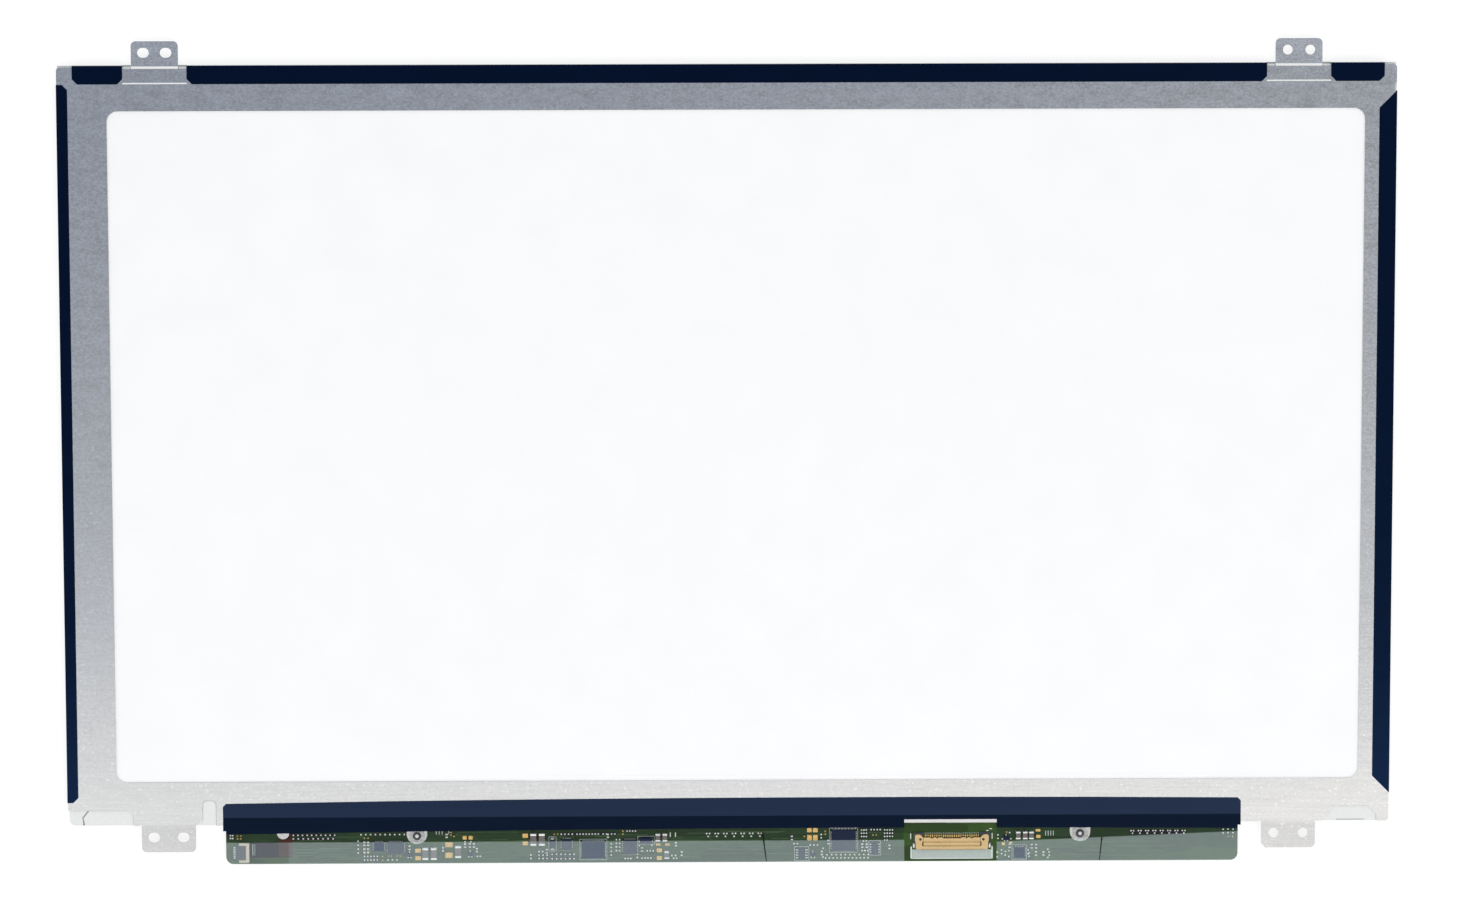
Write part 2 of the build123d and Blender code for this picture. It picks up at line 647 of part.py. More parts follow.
def top_tab(x, slotted):
    """Recessed zone of the rim, joggled down to a screw tab beyond the top edge."""
    tip = panel_top + TOP_TAB_REACH
    lead = zone_line - 2 * RECESS_RUN
    step = (zone_line - RECESS_RUN, z_back)
    zone_path = [(lead, z_back), step, (zone_line, z_rim_back), (zone_edge, z_rim_back)]
    half_zone = TOP_ZONE_WIDTH / 2
    zone = sheet_along_x(zone_path, METAL_T, x - half_zone, x + half_zone)
    root = zone_edge + TOP_TAB_RUN
    tab_path = [(zone_line, z_rim_back), (zone_edge, z_rim_back), (root, z_top_tab), (tip, z_top_tab)]
    half_tab = TOP_TAB_WIDTH / 2
    tab = sheet_along_x(tab_path, METAL_T, x - half_tab, x + half_tab)
    zone -= block(x - half_tab, x + half_tab, zone_line + RECESS_RUN, zone_edge, z_recess, z_back)
    tab &= through(tab_outline(x, TOP_TAB_WIDTH, zone_line, tip))
    return zone + tab - through(tab_holes(x, panel_top + TOP_HOLE_REACH, TOP_HOLE_SPACING, slotted))


def bottom_tab(x, slotted):
    """Screw tab in the plane of the lower rim."""
    tip = metal_bottom - BOTTOM_TAB_REACH
    outline = tab_outline(x, BOTTOM_TAB_WIDTH, metal_bottom + METAL_T, tip, not slotted)
    outline -= tab_holes(x, metal_bottom - BOTTOM_HOLE_REACH, BOTTOM_HOLE_SPACING, slotted)
    return extrude(Pos(0, 0, z_recess) * outline, METAL_T)


def tongue(x, width, reach, z_foot):
    """Round-ended tongue from the lower rim, stepped onto what lies on the board."""
    tip = metal_bottom - reach
    z_top = z_foot + METAL_T
    knee = metal_bottom - TONGUE_RAMP
    path = [(tip, z_top), (knee, z_top), (metal_bottom, z_rim_back), (metal_bottom + METAL_T, z_rim_back)]
    half = width / 2
    strip = sheet_along_x(path, METAL_T, x - half, x + half)
    outline = Pos(x, (tip + rim_line) / 2) * Rectangle(width, rim_line - tip)
    rounded = fillet(outline.vertices().sort_by(Axis.Y)[:2], 0.98 * half)
    return strip & through(rounded)


def rim_cutouts():
    """Plan outlines cut from the lower rim: the two notches and the round-headed slot."""
    head = metal_bottom + NOTCH_DEPTH
    left_end = -panel_x + LEFT_NOTCH_END
    left = Pos((left_end - panel_x) / 2, metal_bottom) * Rectangle(LEFT_NOTCH_END, 2 * NOTCH_DEPTH)
    left = fillet(left.vertices().sort_by_distance((left_end, head, 0))[:1], LEFT_NOTCH_RADIUS)
    start = panel_x - RIGHT_NOTCH_END
    end = panel_x - RIGHT_NOTCH_START
    right_root = bottom_tab_centres[1] + BOTTOM_TAB_WIDTH / 2 + RELIEF_WIDTH
    right = Polyline((right_root, metal_bottom), (end, metal_bottom), (end, head - NOTCH_SLANT),
                     (end - NOTCH_SLANT, head), (start + NOTCH_SLANT, head),
                     (start, metal_bottom + NOTCH_ROOT), close=True)
    slot = Pos(slot_x, metal_bottom) * Rectangle(RIM_SLOT_WIDTH, 2 * RIM_SLOT_DEPTH)
    slot = fillet(slot.vertices().sort_by(Axis.Y)[-2:], RIM_SLOT_WIDTH / 3)
    slot_left = slot_x - RIM_SLOT_WIDTH / 2
    left_root = bottom_tab_centres[0] + BOTTOM_TAB_WIDTH / 2
    slant = Polyline((left_root, metal_bottom), (slot_x, metal_bottom), (slot_x, metal_bottom + RIM_SLOT_ROOT),
                     (slot_left, metal_bottom + RIM_SLOT_ROOT), close=True)
    return left + make_face(right) + slot + make_face(slant)


def upright_edge(solid, x, y):
    """The edge along Z that stands nearest to a plan point at the back."""
    return solid.edges().filter_by(Axis.Z).sort_by_distance((x, y, z_back))[:1]


def rear_chassis():
    """Pressed sheet: a tray with side walls, a recessed lower rim, tabs, tongues and the window."""
    wall = [(-metal_x, wall_foot), (-metal_x, z_back), (metal_x, z_back), (metal_x, wall_foot)]
    side_top = panel_top - LEFT_TAPE_TOP_GAP
    tray = sheet_along_y(wall, METAL_T, rim_line, side_top, BEND_RADIUS)
    top_path = [(side_top - METAL_T, z_back), (metal_top, z_back), (metal_top, wall_foot)]
    wall_left = -panel_x + TOP_TAPE_LEFT_GAP
    wall_right = panel_x - TOP_TAPE_RIGHT_GAP
    rim_path = [(metal_bottom, z_rim_back), (rim_line, z_rim_back), (rim_line + RECESS_RUN, z_back),
                (rim_line + 2 * RECESS_RUN, z_back)]
    sheet = tray + sheet_along_x(top_path, METAL_T, wall_left, wall_right, BEND_RADIUS)
    corner_top = metal_top - METAL_T
    sheet += block(-metal_x, metal_x, side_top - METAL_T, corner_top, z_plate, z_back)
    sheet += sheet_along_x(rim_path, METAL_T, -metal_x, metal_x)
    for x, y in ((-metal_x, corner_top), (metal_x, corner_top), (metal_x, metal_bottom)):
        sheet = fillet(upright_edge(sheet, x, y), PLATE_CORNER_RADIUS)
    sheet -= through(rim_cutouts())
    window = Pos((window_left + window_right) / 2, (window_bottom + window_top) / 2)
    window *= RectangleRounded(window_right - window_left, window_top - window_bottom, WINDOW_RADIUS)
    sheet -= through(window)
    for x, slotted in zip(top_tab_centres, (True, False)):
        half = TOP_ZONE_WIDTH / 2
        sheet -= block(x - half, x + half, zone_line - RECESS_RUN, metal_top, wall_foot, z_back)
        sheet += top_tab(x, slotted)
    for x, slotted in zip(bottom_tab_centres, (True, False)):
        for side in (-1, 1):
            relief_x = x + side * (BOTTOM_TAB_WIDTH + RELIEF_WIDTH) / 2
            sheet -= through(Pos(relief_x, metal_bottom) * Circle(RELIEF_WIDTH / 2))
        sheet += bottom_tab(x, slotted)
    z_tail = z_board_back + LIGHT_BAR_T
    sheet += tongue(board_left + SMALL_TONGUE_U, SMALL_TONGUE_WIDTH, SMALL_TONGUE_REACH, z_tail)
    for x, y in ear_places():
        sheet += tongue(x, TONGUE_WIDTH, TONGUE_REACH, z_board_back)
        sheet -= through(Pos(x, y) * Circle(TONGUE_HOLE_RADIUS))
    return sheet


# Tapes
def chamfered_flap(x0, x1, y0, y1, corners, cut):
    """Plan outline with the named corners cut off at 45 degrees."""
    face = Pos((x0 + x1) / 2, (y0 + y1) / 2) * Rectangle(x1 - x0, y1 - y0)
    chosen = []
    for x, y in corners:
        chosen.append(face.vertices().sort_by_distance((x, y, 0))[0])
    return chamfer(chosen, cut)


def tape_depth(sketch):
    """Cutter through the back layers only, from mid-depth to above the tapes."""
    return extrude(Pos(0, 0, z_guide) * sketch, z_film_back + METAL_T)


def top_edge_tape():
    """Tape folded over the top edge: three flaps on the back, one flange on the front."""
    flap_edge = panel_top - TOP_TAPE_FLAP
    flange = active_y + FRONT_POLARIZER_BORDER + FRONT_FLANGE_GAP
    path = [(flange, z_filter), (metal_top, z_filter), (metal_top, z_back), (flap_edge, z_back)]
    left = -panel_x + TOP_TAPE_LEFT_GAP
    right = panel_x - TOP_TAPE_RIGHT_GAP
    tape = sheet_along_x(path, TAPE_T, left, right)
    half = TOP_ZONE_WIDTH / 2
    ends = [left, top_tab_centres[0] - half, top_tab_centres[0] + half,
            top_tab_centres[1] - half, top_tab_centres[1] + half, right]
    flaps = Sketch()
    for x0, x1 in zip(ends[0::2], ends[1::2]):
        corners = [(x0, flap_edge), (x1, flap_edge)]
        flaps += chamfered_flap(x0, x1, flap_edge, panel_top, corners, TAPE_CHAMFER)
    front = block(left, right, flange, panel_top, z_filter - TAPE_T, z_guide)
    for x in top_tab_centres:
        front -= block(x - half, x + half, metal_top, panel_top, z_filter + TAPE_T, z_guide)
    return tape & (tape_depth(flaps) + front)


def side_tape(side, flap, top, bottom, corners, cut):
    """Tape folded over a side edge; side is -1 on the left and 1 on the right."""
    flange = active_x + FRONT_POLARIZER_BORDER + FRONT_FLANGE_GAP
    path = [(flange, z_filter), (metal_x, z_filter), (metal_x, z_back), (panel_x - flap, z_back)]
    tape = sheet_along_y(path, TAPE_T, bottom, top)
    if side < 0:
        tape = mirror(tape, Plane.YZ)
    inner = side * (panel_x - flap)
    low = min(inner, side * panel_x)
    high = max(inner, side * panel_x)
    back = chamfered_flap(low, high, bottom, top, corners, cut)
    walls = block(-panel_x, panel_x, bottom, top, z_filter - TAPE_T, z_guide)
    return tape & (tape_depth(back) + walls)


def left_edge_tape():
    inner = -panel_x + LEFT_TAPE_FLAP
    top = panel_top - LEFT_TAPE_TOP_GAP
    bottom = metal_bottom + LEFT_TAPE_BOTTOM_GAP
    return side_tape(-1, LEFT_TAPE_FLAP, top, bottom, [(inner, top), (inner, bottom)], TAPE_CHAMFER)


def right_edge_tape():
    inner = panel_x - RIGHT_TAPE_FLAP
    top = panel_top - RIGHT_TAPE_TOP_GAP
    bottom = metal_bottom + RIGHT_TAPE_BOTTOM_GAP
    cut = RIGHT_TAPE_FLAP - TAPE_T
    return side_tape(1, RIGHT_TAPE_FLAP, top, bottom, [(inner, top), (inner, bottom)], cut)


# Lower tape and film: both leave the rim at a fold and rise to the tops of the chips.
fold = (metal_bottom + BOTTOM_TAPE_FOLD, z_rim_back)
crease = (board_bottom + FILM_CREASE, z_film_back)


def rise_at(y):
    """Height of the rising line from the fold to the crease, at a place along Y."""
    return fold[1] + (crease[1] - fold[1]) * (y - fold[0]) / (crease[0] - fold[0])


def board_outline(inset, top):
    """Plan outline of the board up to a top edge: rounded lower corners, inset at the ends and below."""
    low = board_bottom + inset
    length = board_right - board_left - 2 * inset
    outline = Pos((board_left + board_right) / 2, (low + top) / 2) * Rectangle(length, top - low)
    return fillet(outline.vertices().sort_by(Axis.Y)[:2], BOARD_CORNER_RADIUS)


def bottom_back_tape():
    """Black tape from the lower rim onto the board's film, laid in a slight bow and cut out by the socket."""
    top = metal_bottom + BOTTOM_TAPE_ON_RIM
    left = board_left - BOTTOM_TAPE_OVERHANG
    right = board_right + BOTTOM_TAPE_OVERHANG
    left_top = top - BOTTOM_TAPE_LEFT_SAG
    right_top = top - BOTTOM_TAPE_RIGHT_SAG
    foot = left_top - BOTTOM_TAPE_WIDTH
    path = [(top, z_rim_back), fold, (foot, rise_at(foot))]
    tape = sheet_along_x(path, TAPE_T, left, right)
    middle = (left + right) / 2
    upper = Spline((left, left_top), (middle, top), (right, right_top))
    lower = Pos(0, -BOTTOM_TAPE_WIDTH) * upper
    ends = [Line((x, y), (x, y - BOTTOM_TAPE_WIDTH)) for x, y in ((left, left_top), (right, right_top))]
    outline = make_face([upper, ends[1], lower, ends[0]])
    for x, y in ((left, left_top), (right, right_top)):
        diamond = math.sqrt(2) * BOTTOM_TAPE_CHAMFER
        outline -= Pos(x, y) * Rot(0, 0, 45) * Rectangle(diamond, diamond)
        outline -= Pos(x, y - BOTTOM_TAPE_WIDTH) * Rectangle(2 * BOTTOM_TAPE_STEP, 2 * BOTTOM_TAPE_STEP)
    cutout_top = metal_bottom + CUTOUT_RIM_SHOW
    outline -= Pos(board_left + CUTOUT_U, cutout_top) * Rectangle(
        CUTOUT_LENGTH, 2 * BOTTOM_TAPE_WIDTH, align=(Align.CENTER, Align.MAX))
    return tape & tape_depth(outline)


def film_slit(head_u, foot_u, head):
    """Slanted slit through the film, wider at its head than at the board's lower edge."""
    wide = SLIT_HEAD_WIDTH / 2
    thin = SLIT_FOOT_WIDTH / 2
    head_x = board_left + head_u
    foot_x = board_left + foot_u
    return make_face(Polyline((head_x - wide, head), (head_x + wide, head), (foot_x + thin, board_bottom),
                              (foot_x - thin, board_bottom), close=True))


def board_film():
    """Clear film over the board in four lengths: a rise under the tape, then flat on the chips."""
    head = board_top + BOARD_GAP / 2
    path = [(board_bottom + FILM_EDGE, z_film_back), crease, (head, rise_at(head))]
    outline = board_outline(FILM_EDGE, head)
    outline -= film_slit(*LEFT_SLIT_U, head)
    outline -= film_slit(*RIGHT_SLIT_U, head)
    cutter = tape_depth(outline)
    spans = [(board_left + FILM_EDGE, cutout_left), (cutout_right, board_right - FILM_EDGE)]
    return group(sheet_along_x(path, FILM_T, x0, x1) & cutter for x0, x1 in spans)


# Control board
def control_board():
    """Long narrow board with rounded lower corners and two holes for the frame's pegs."""
    outline = board_outline(0, board_top)
    for x, y in ear_places():
        outline -= Pos(x, y) * Circle(PEG_RADIUS + PEG_CLEARANCE)
    return extrude(Pos(0, 0, z_board) * outline, BOARD_T)


signal_x = board_left + SIGNAL_U
signal_rear = board_bottom + SIGNAL_V + SIGNAL_DEPTH / 2
signal_front = signal_rear - SIGNAL_DEPTH
core_rear = signal_rear - SIGNAL_SETBACK
core_depth = SIGNAL_DEPTH - SIGNAL_SETBACK
core_half = SIGNAL_CORE / 2
ear_width = (SIGNAL_LENGTH - SIGNAL_CORE) / 2
signal_top = z_board_back + TALLEST_PART
signal_lip = signal_top - SIGNAL_LIP_DROP


def signal_pin_places():
    first = signal_x - SIGNAL_PITCH * (SIGNAL_PINS - 1) / 2
    return [first + SIGNAL_PITCH * index for index in range(SIGNAL_PINS)]


def ear_outline(side):
    """Plan of one horn-shaped ear, in shares of its width outward and of the socket's depth rearward."""
    shares = [(-0.05, 0.06), (0.78, 0.0), (0.92, 0.10), (0.92, 0.45), (1.0, 0.62), (1.0, 0.90), (0.88, 1.0),
              (0.40, 1.0), (0.04, 0.82), (0.04, 0.55), (0.14, 0.50), (0.14, 0.26), (-0.05, 0.20)]
    end = signal_x + side * core_half
    points = [(end + side * out * ear_width, signal_front + back * SIGNAL_DEPTH) for out, back in shares]
    hole = Pos(end + side * 0.36 * ear_width, signal_front + 0.68 * SIGNAL_DEPTH) * Circle(SIGNAL_EAR_HOLE)
    return make_face(Polyline(*points, close=True)) - hole


def roof_teeth():
    """Plan of the gaps along the roof's rear edge: a long one in the middle, two short ones each side."""
    gaps = Pos(signal_x, core_rear) * Rectangle(0.32 * SIGNAL_CORE, 2 * SIGNAL_TOOTH)
    for share, width in ((0.26, 0.4), (0.35, 0.7)):
        for side in (-1, 1):
            gaps += Pos(signal_x + side * share * SIGNAL_CORE, core_rear) * Rectangle(width, 2 * SIGNAL_TOOTH)
    return gaps


def signal_connector_shell():
    """Pressed metal shell: a grooved roof over the contacts and a horned ear with a hole at each end."""
    groove = signal_top - SIGNAL_SHELL_T
    foot = signal_lip - SIGNAL_SHELL_T
    heights = [(0, signal_top), (0.29, signal_top), (0.32, groove), (0.38, groove), (0.41, signal_top),
               (0.60, signal_top), (0.75, signal_lip), (0.94, signal_lip), (1, foot)]
    path = [(core_rear - share * core_depth, z) for share, z in reversed(heights)]
    shell = sheet_along_x(path, SIGNAL_SHELL_T, signal_x - core_half, signal_x + core_half)
    shell -= through(roof_teeth())
    for side in (-1, 1):
        plate = extrude(Pos(0, 0, foot) * ear_outline(side), SIGNAL_SHELL_T, dir=(0, 0, 1))
        x1 = signal_x + side * (core_half + 0.92 * ear_width)
        x0 = x1 - side * SIGNAL_SHELL_T
        low = signal_front + 0.12 * SIGNAL_DEPTH
        high = signal_front + 0.42 * SIGNAL_DEPTH
        shell += plate + block(min(x0, x1), max(x0, x1), low, high, z_board_back, signal_lip)
    return shell


def signal_connector_housing():
    """Plastic base under the shell: a floor, a slotted rear wall, two end posts and a wing at each end."""
    half = core_half - SIGNAL_SHELL_T
    rear = core_rear - SIGNAL_TOOTH
    wall = core_depth / 8
    roof = signal_lip - 2 * SIGNAL_SHELL_T
    floor = z_board_back + SIGNAL_FLOOR_T
    base = block(signal_x - half, signal_x + half, signal_front, rear, z_board_back, floor)
    base += block(signal_x - half, signal_x + half, rear - wall, rear, z_board_back, roof)
    wing_low = signal_front + SIGNAL_DEPTH / 2
    wing_high = signal_rear + SIGNAL_WING
    for side in (-1, 1):
        x0 = signal_x + side * half
        x1 = x0 - side * wall
        base += block(min(x0, x1), max(x0, x1), signal_front, rear, z_board_back, roof)
        x2 = signal_x + side * (SIGNAL_LENGTH / 2 + SIGNAL_WING)
        base += block(min(x0, x2), max(x0, x2), wing_low, wing_high, z_board_back, roof)
    for x in signal_pin_places():
        base -= signal_contact(x)
    return base


def signal_contact(x):
    """One contact: a tail on the board behind the housing and a blade along its floor."""
    half = SIGNAL_PIN_WIDTH / 2
    top = z_board_back + SIGNAL_FLOOR_T
    front = signal_front + SIGNAL_DEPTH / 4
    return block(x - half, x + half, front, core_rear + SIGNAL_TAIL, top - SIGNAL_SHELL_T, top)


def signal_connector_contacts():
    return group(signal_contact(x) for x in signal_pin_places())


light_x = board_left + LIGHT_U
light_y = board_bottom + LIGHT_V
light_left = light_x - LIGHT_BODY_DEPTH / 2
light_right = light_x + LIGHT_BODY_DEPTH / 2
light_half = LIGHT_LENGTH / 2
light_mouth = light_right - LIGHT_LOCK_DEPTH
z_mouth = z_board_back + LIGHT_BAR_T + SLOT_CLEARANCE


def light_pin_places():
    first = light_y - LIGHT_PIN_PITCH * (LIGHT_PINS - 1) / 2
    return [first + LIGHT_PIN_PITCH * index for index in range(LIGHT_PINS)]


def backlight_connector_housing():
    """Plastic block that the flexible tail enters from the right, with pin grooves on the left."""
    inner = light_half - LIGHT_LOCK_ARM - SLOT_CLEARANCE
    body = block(light_left, light_mouth - SLOT_CLEARANCE, light_y - inner, light_y + inner,
                 z_board_back, z_board_back + LIGHT_BODY_H)
    for y in light_pin_places():
        body -= light_pin(y)
    return body


def backlight_connector_lock():
    """Flip lock: a bar across the mouth with an arm along each end of the housing."""
    z_lock = z_board_back + LIGHT_LOCK_H
    bar = block(light_mouth, light_right, light_y - light_half, light_y + light_half, z_mouth, z_lock)
    for side in (-1, 1):
        y0 = light_y + side * light_half
        y1 = y0 - side * LIGHT_LOCK_ARM
        bar += block(light_left + LIGHT_LOCK_DEPTH, light_right, min(y0, y1), max(y0, y1),
                     z_board_back, z_lock)
    return bar


def light_pin(y):
    half = LIGHT_PIN_WIDTH / 2
    return block(light_left - LIGHT_PIN_TAIL, light_left + LIGHT_PIN_TAIL, y - half, y + half,
                 z_board_back, z_board_back + LIGHT_PIN_T)


def backlight_connector_contacts():
    return group(light_pin(y) for y in light_pin_places())


def chips_at(places, size):
    return group(on_board(place, size) for place in places)


def build():
    """Every piece of the panel, by node name."""
    return {
        "front_polarizer": front_polarizer(),
        "color_filter_glass": color_filter_glass(),
        "tft_glass": tft_glass(),
        "rear_polarizer": rear_polarizer(),
        "cell_seat_tape": cell_seat_tape(),
        "source_driver_films": source_driver_films(),
        "source_driver_chips": source_driver_chips(),
        "bottom_front_tape": bottom_front_tape(),
        "upper_diffuser": light_sheet(z_sheets, UPPER_DIFFUSER_T, guide_bottom),
        "upper_prism_sheet": light_sheet(z_upper_prism, PRISM_SHEET_T, guide_bottom),
        "lower_prism_sheet": light_sheet(z_lower_prism, PRISM_SHEET_T, guide_bottom),
        "lower_diffuser": light_sheet(z_lower_diffuser, LOWER_DIFFUSER_T, guide_bottom),
        "light_guide": light_sheet(z_guide, LIGHT_GUIDE_T, guide_bottom),
        "reflector_sheet": reflector_sheet(),
        "reflector_edge_strip": reflector_edge_strip(),
        "light_bar_flex": light_bar_flex(),
        "leds": leds(),
        "led_phosphors": led_phosphors(),
        "mold_frame": mold_frame(),
        "rear_chassis": rear_chassis(),
        "top_edge_tape": top_edge_tape(),
        "left_edge_tape": left_edge_tape(),
        "right_edge_tape": right_edge_tape(),
        "bottom_back_tape": bottom_back_tape(),
        "board_film": board_film(),
        "control_board": control_board(),
        "signal_connector_shell": signal_connector_shell(),
        "signal_connector_housing": signal_connector_housing(),
        "signal_connector_contacts": signal_connector_contacts(),
        "backlight_connector_housing": backlight_connector_housing(),
        "backlight_connector_lock": backlight_connector_lock(),
        "backlight_connector_contacts": backlight_connector_contacts(),
        "timing_controller": chip(TIMING_CONTROLLER_AT, TIMING_CONTROLLER),
        "gamma_chip": chip(GAMMA_CHIP_AT, GAMMA_CHIP),
        "level_shifter": chip(LEVEL_SHIFTER_AT, LEVEL_SHIFTER),
        "light_driver_chip": chip(LIGHT_DRIVER_AT, LIGHT_DRIVER),
        "power_chip": chip(POWER_CHIP_AT, POWER_CHIP),
        "common_amplifier": chip(COMMON_AMPLIFIER_AT, COMMON_AMPLIFIER),
        "memory_chip": chip(MEMORY_CHIP_AT, MEMORY_CHIP),
        "load_switch": chip(LOAD_SWITCH_AT, LOAD_SWITCH),
        "buck_chip": chip(BUCK_CHIP_AT, BUCK_CHIP),
        "choke": chip(CHOKE_AT, CHOKE),
        "diode": chip(DIODE_AT, DIODE),
        "large_capacitors": chips_at(LARGE_CAPS_AT, LARGE_CAP),
        "medium_capacitors": chips_at(MEDIUM_CAPS_AT, MEDIUM_CAP),
        "small_capacitors": chips_at(SMALL_PARTS_AT, SMALL_PART),
        "chip_resistors": chips_at(RESISTORS_AT, SMALL_RESISTOR),
        "transistors": group(chip(place, TRANSISTOR) for place in TRANSISTORS_AT),
    }


os.makedirs("parts", exist_ok=True)
for name, shape in build().items():
    export_step(shape, f"parts/{name}.step")
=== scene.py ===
"""Finishes, small board parts and a plain stage for a slim laptop screen panel seen from its back."""

import math

import bpy
import numpy as np
from bpy.props import FloatProperty, FloatVectorProperty, PointerProperty
from mathutils import Matrix, Vector


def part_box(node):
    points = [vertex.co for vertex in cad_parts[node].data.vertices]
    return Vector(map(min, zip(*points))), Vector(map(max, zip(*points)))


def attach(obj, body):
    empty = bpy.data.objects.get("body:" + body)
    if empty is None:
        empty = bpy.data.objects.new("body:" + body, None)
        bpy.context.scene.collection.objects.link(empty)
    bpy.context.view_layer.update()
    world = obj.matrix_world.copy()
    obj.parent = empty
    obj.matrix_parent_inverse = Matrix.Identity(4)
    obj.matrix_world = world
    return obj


bl_info = {
    "name": "Laptop Screen Panel",
    "version": (1, 0, 0),
    "blender": (4, 5, 0),
    "location": "3D View > Sidebar > Screen Panel",
    "description": "Dresses the back of a slim laptop screen panel and lights it on a plain floor",
    "category": "Object",
}

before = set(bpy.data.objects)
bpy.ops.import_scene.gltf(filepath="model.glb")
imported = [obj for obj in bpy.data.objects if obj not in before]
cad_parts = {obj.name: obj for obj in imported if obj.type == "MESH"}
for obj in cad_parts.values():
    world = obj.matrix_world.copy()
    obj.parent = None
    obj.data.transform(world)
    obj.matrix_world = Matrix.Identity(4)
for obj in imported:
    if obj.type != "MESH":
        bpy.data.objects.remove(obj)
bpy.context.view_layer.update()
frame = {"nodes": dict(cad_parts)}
NODES = frame["nodes"]
BODY = "root"
MM = 0.001

BOARD_LOW, BOARD_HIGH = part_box("control_board")
BOARD_BACK = BOARD_HIGH.z


def colour(name, description, default):
    """A colour that a user can change."""
    return FloatVectorProperty(
        name=name, description=description, default=default, size=3, min=0.0, max=1.0, subtype="COLOR"
    )


def length(name, description, default):
    """A length in metres that a user can change, given here in millimetres."""
    return FloatProperty(
        name=name, description=description, default=default * MM, min=0.0, subtype="DISTANCE", unit="LENGTH"
    )


def share(name, description, default):
    """A share from nothing to all that a user can change."""
    return FloatProperty(
        name=name, description=description, default=default, min=0.0, max=1.0, subtype="FACTOR"
    )


class PanelFinishes(bpy.types.PropertyGroup):
    """Colours of the panel's own sheets, tapes and films."""

    steel: colour("Steel", "Plated sheet of the chassis", (0.535, 0.535, 0.535))
    rim_steel: colour("Rim steel", "The same sheet by the board, a little warmer", (0.575, 0.567, 0.550))
    steel_roughness: share("Steel roughness", "How soft the sheet's reflections are", 0.24)
    tape: colour("Tape", "Black polyester tape", (0.0001, 0.0007, 0.0030))
    edge_sheen: colour("Edge tape sheen", "Tint of the edge tapes' reflections", (0.12, 0.32, 0.90))
    board_sheen: colour("Board tape sheen", "Tint of the board tape's reflections", (0.30, 0.50, 1.0))
    reflector: colour("Reflector", "White sheet behind the light guide", (0.975, 0.975, 0.975))
    frame: colour("Frame", "White moulded frame", (0.80, 0.81, 0.80))
    polarizer: colour("Polarizer", "Dark film on the glass", (0.012, 0.013, 0.016))
    glass: colour("Glass", "Edge of the cell glass", (0.055, 0.085, 0.075))
    light_sheet: colour("Light sheet", "Clear and milky sheets of the light box", (0.78, 0.82, 0.82))
    film_clear: share("Clear film", "Cover of each face of the film where it slopes", 0.05)
    # Painted reflection: how much milky white, standing for the room mirrored in the flat film, covers each
    # face.
    stuck_film_reflection: share("Stuck film", "Cover of each face where it lies stuck", 0.12)
    loose_film_reflection: share("Loose film", "Cover of each face where it lies loose over the tail", 0.078)


class BoardFinishes(bpy.types.PropertyGroup):
    """Colours of the control board and what is soldered to it."""

    mask: colour("Mask", "Green mask on the board", (0.030, 0.067, 0.014))
    # Painted shade: the mask darkened where the sloping film and tape shade the board.
    mask_in_painted_shade: colour("Shaded mask", "The same mask under the sloping film", (0.023, 0.052, 0.019))
    board_edge: colour("Board edge", "Cut glass fibre at the board's edge", (0.20, 0.22, 0.11))
    gold: colour("Gold", "Gold plating of pads", (0.62, 0.41, 0.15))
    shell: colour("Shell", "Pale gold plating of the signal socket", (0.49, 0.35, 0.175))
    solder: colour("Solder", "Tin solder and tinned leads", (0.84, 0.85, 0.84))
    print_ink: colour("Print", "Pale printed blocks", (0.42, 0.485, 0.45))
    line_ink: colour("Line print", "White printed lines", (0.66, 0.70, 0.68))
    chip: colour("Chip", "Black moulded chip plastic", (0.010, 0.017, 0.050))
    stuck_chip: colour("Stuck chip", "Chip plastic that the film is stuck to", (0.050, 0.070, 0.127))
    ceramic: colour("Ceramic", "Brown-grey capacitor body", (0.155, 0.130, 0.120))
    glaze: colour("Glaze", "Dark glaze on a resistor", (0.018, 0.019, 0.022))
    ivory: colour("Ivory", "Ivory moulded connector plastic", (0.62, 0.56, 0.42))
    dark_plastic: colour("Dark plastic", "Black moulded connector plastic", (0.045, 0.050, 0.062))
    flex: colour("Flex", "Grey-violet coat of the light bar's flexible tail", (0.014, 0.003, 0.014))
    flex_leg: colour("Flex leg", "Brown leg between the light bar and its tail", (0.060, 0.022, 0.016))
    flex_coat: colour("Flex coat", "White coat along the diodes", (0.80, 0.81, 0.80))
    amber: colour("Amber", "Amber film that carries the driver chips", (0.20, 0.085, 0.02))


class BoardSizes(bpy.types.PropertyGroup):
    """Sizes of the small parts on the board."""

    pad_rise: length("Pad rise", "Thickness of a bare pad", 0.05)
    dot_width: length("Dot width", "Width of a solder dot", 0.48)
    dot_rise: length("Dot rise", "Height of a solder dot", 0.12)
    track_width: length("Track width", "Width of a copper track", 0.16)
    track_rise: length("Track rise", "Height of a track under the mask", 0.025)
    lead_thickness: length("Lead thickness", "Thickness of a chip's lead", 0.08)
    line_width: length("Line width", "Width of a printed line", 0.11)
    line_rise: length("Line rise", "Thickness of printed ink", 0.015)


class StageSettings(bpy.types.PropertyGroup):
    """Floor, light and camera."""

    floor: colour("Floor", "Pale floor", (0.30, 0.30, 0.30))
    overhead: colour("Overhead", "Dim grey above the panel", (0.345, 0.40, 0.50))
    walls: colour("Walls", "White round the panel", (0.86, 0.86, 0.86))
    softbox_tint: colour("Softbox tint", "Colour of the soft lamp", (1.0, 0.98, 0.95))
    softbox_power: FloatProperty(
        name="Softbox power", description="Power of the soft lamp", default=25.0, min=0.0, unit="POWER"
    )
    camera_lens: FloatProperty(
        name="Lens", description="Focal length of the camera", default=140.84, min=1.0, unit="CAMERA"
    )


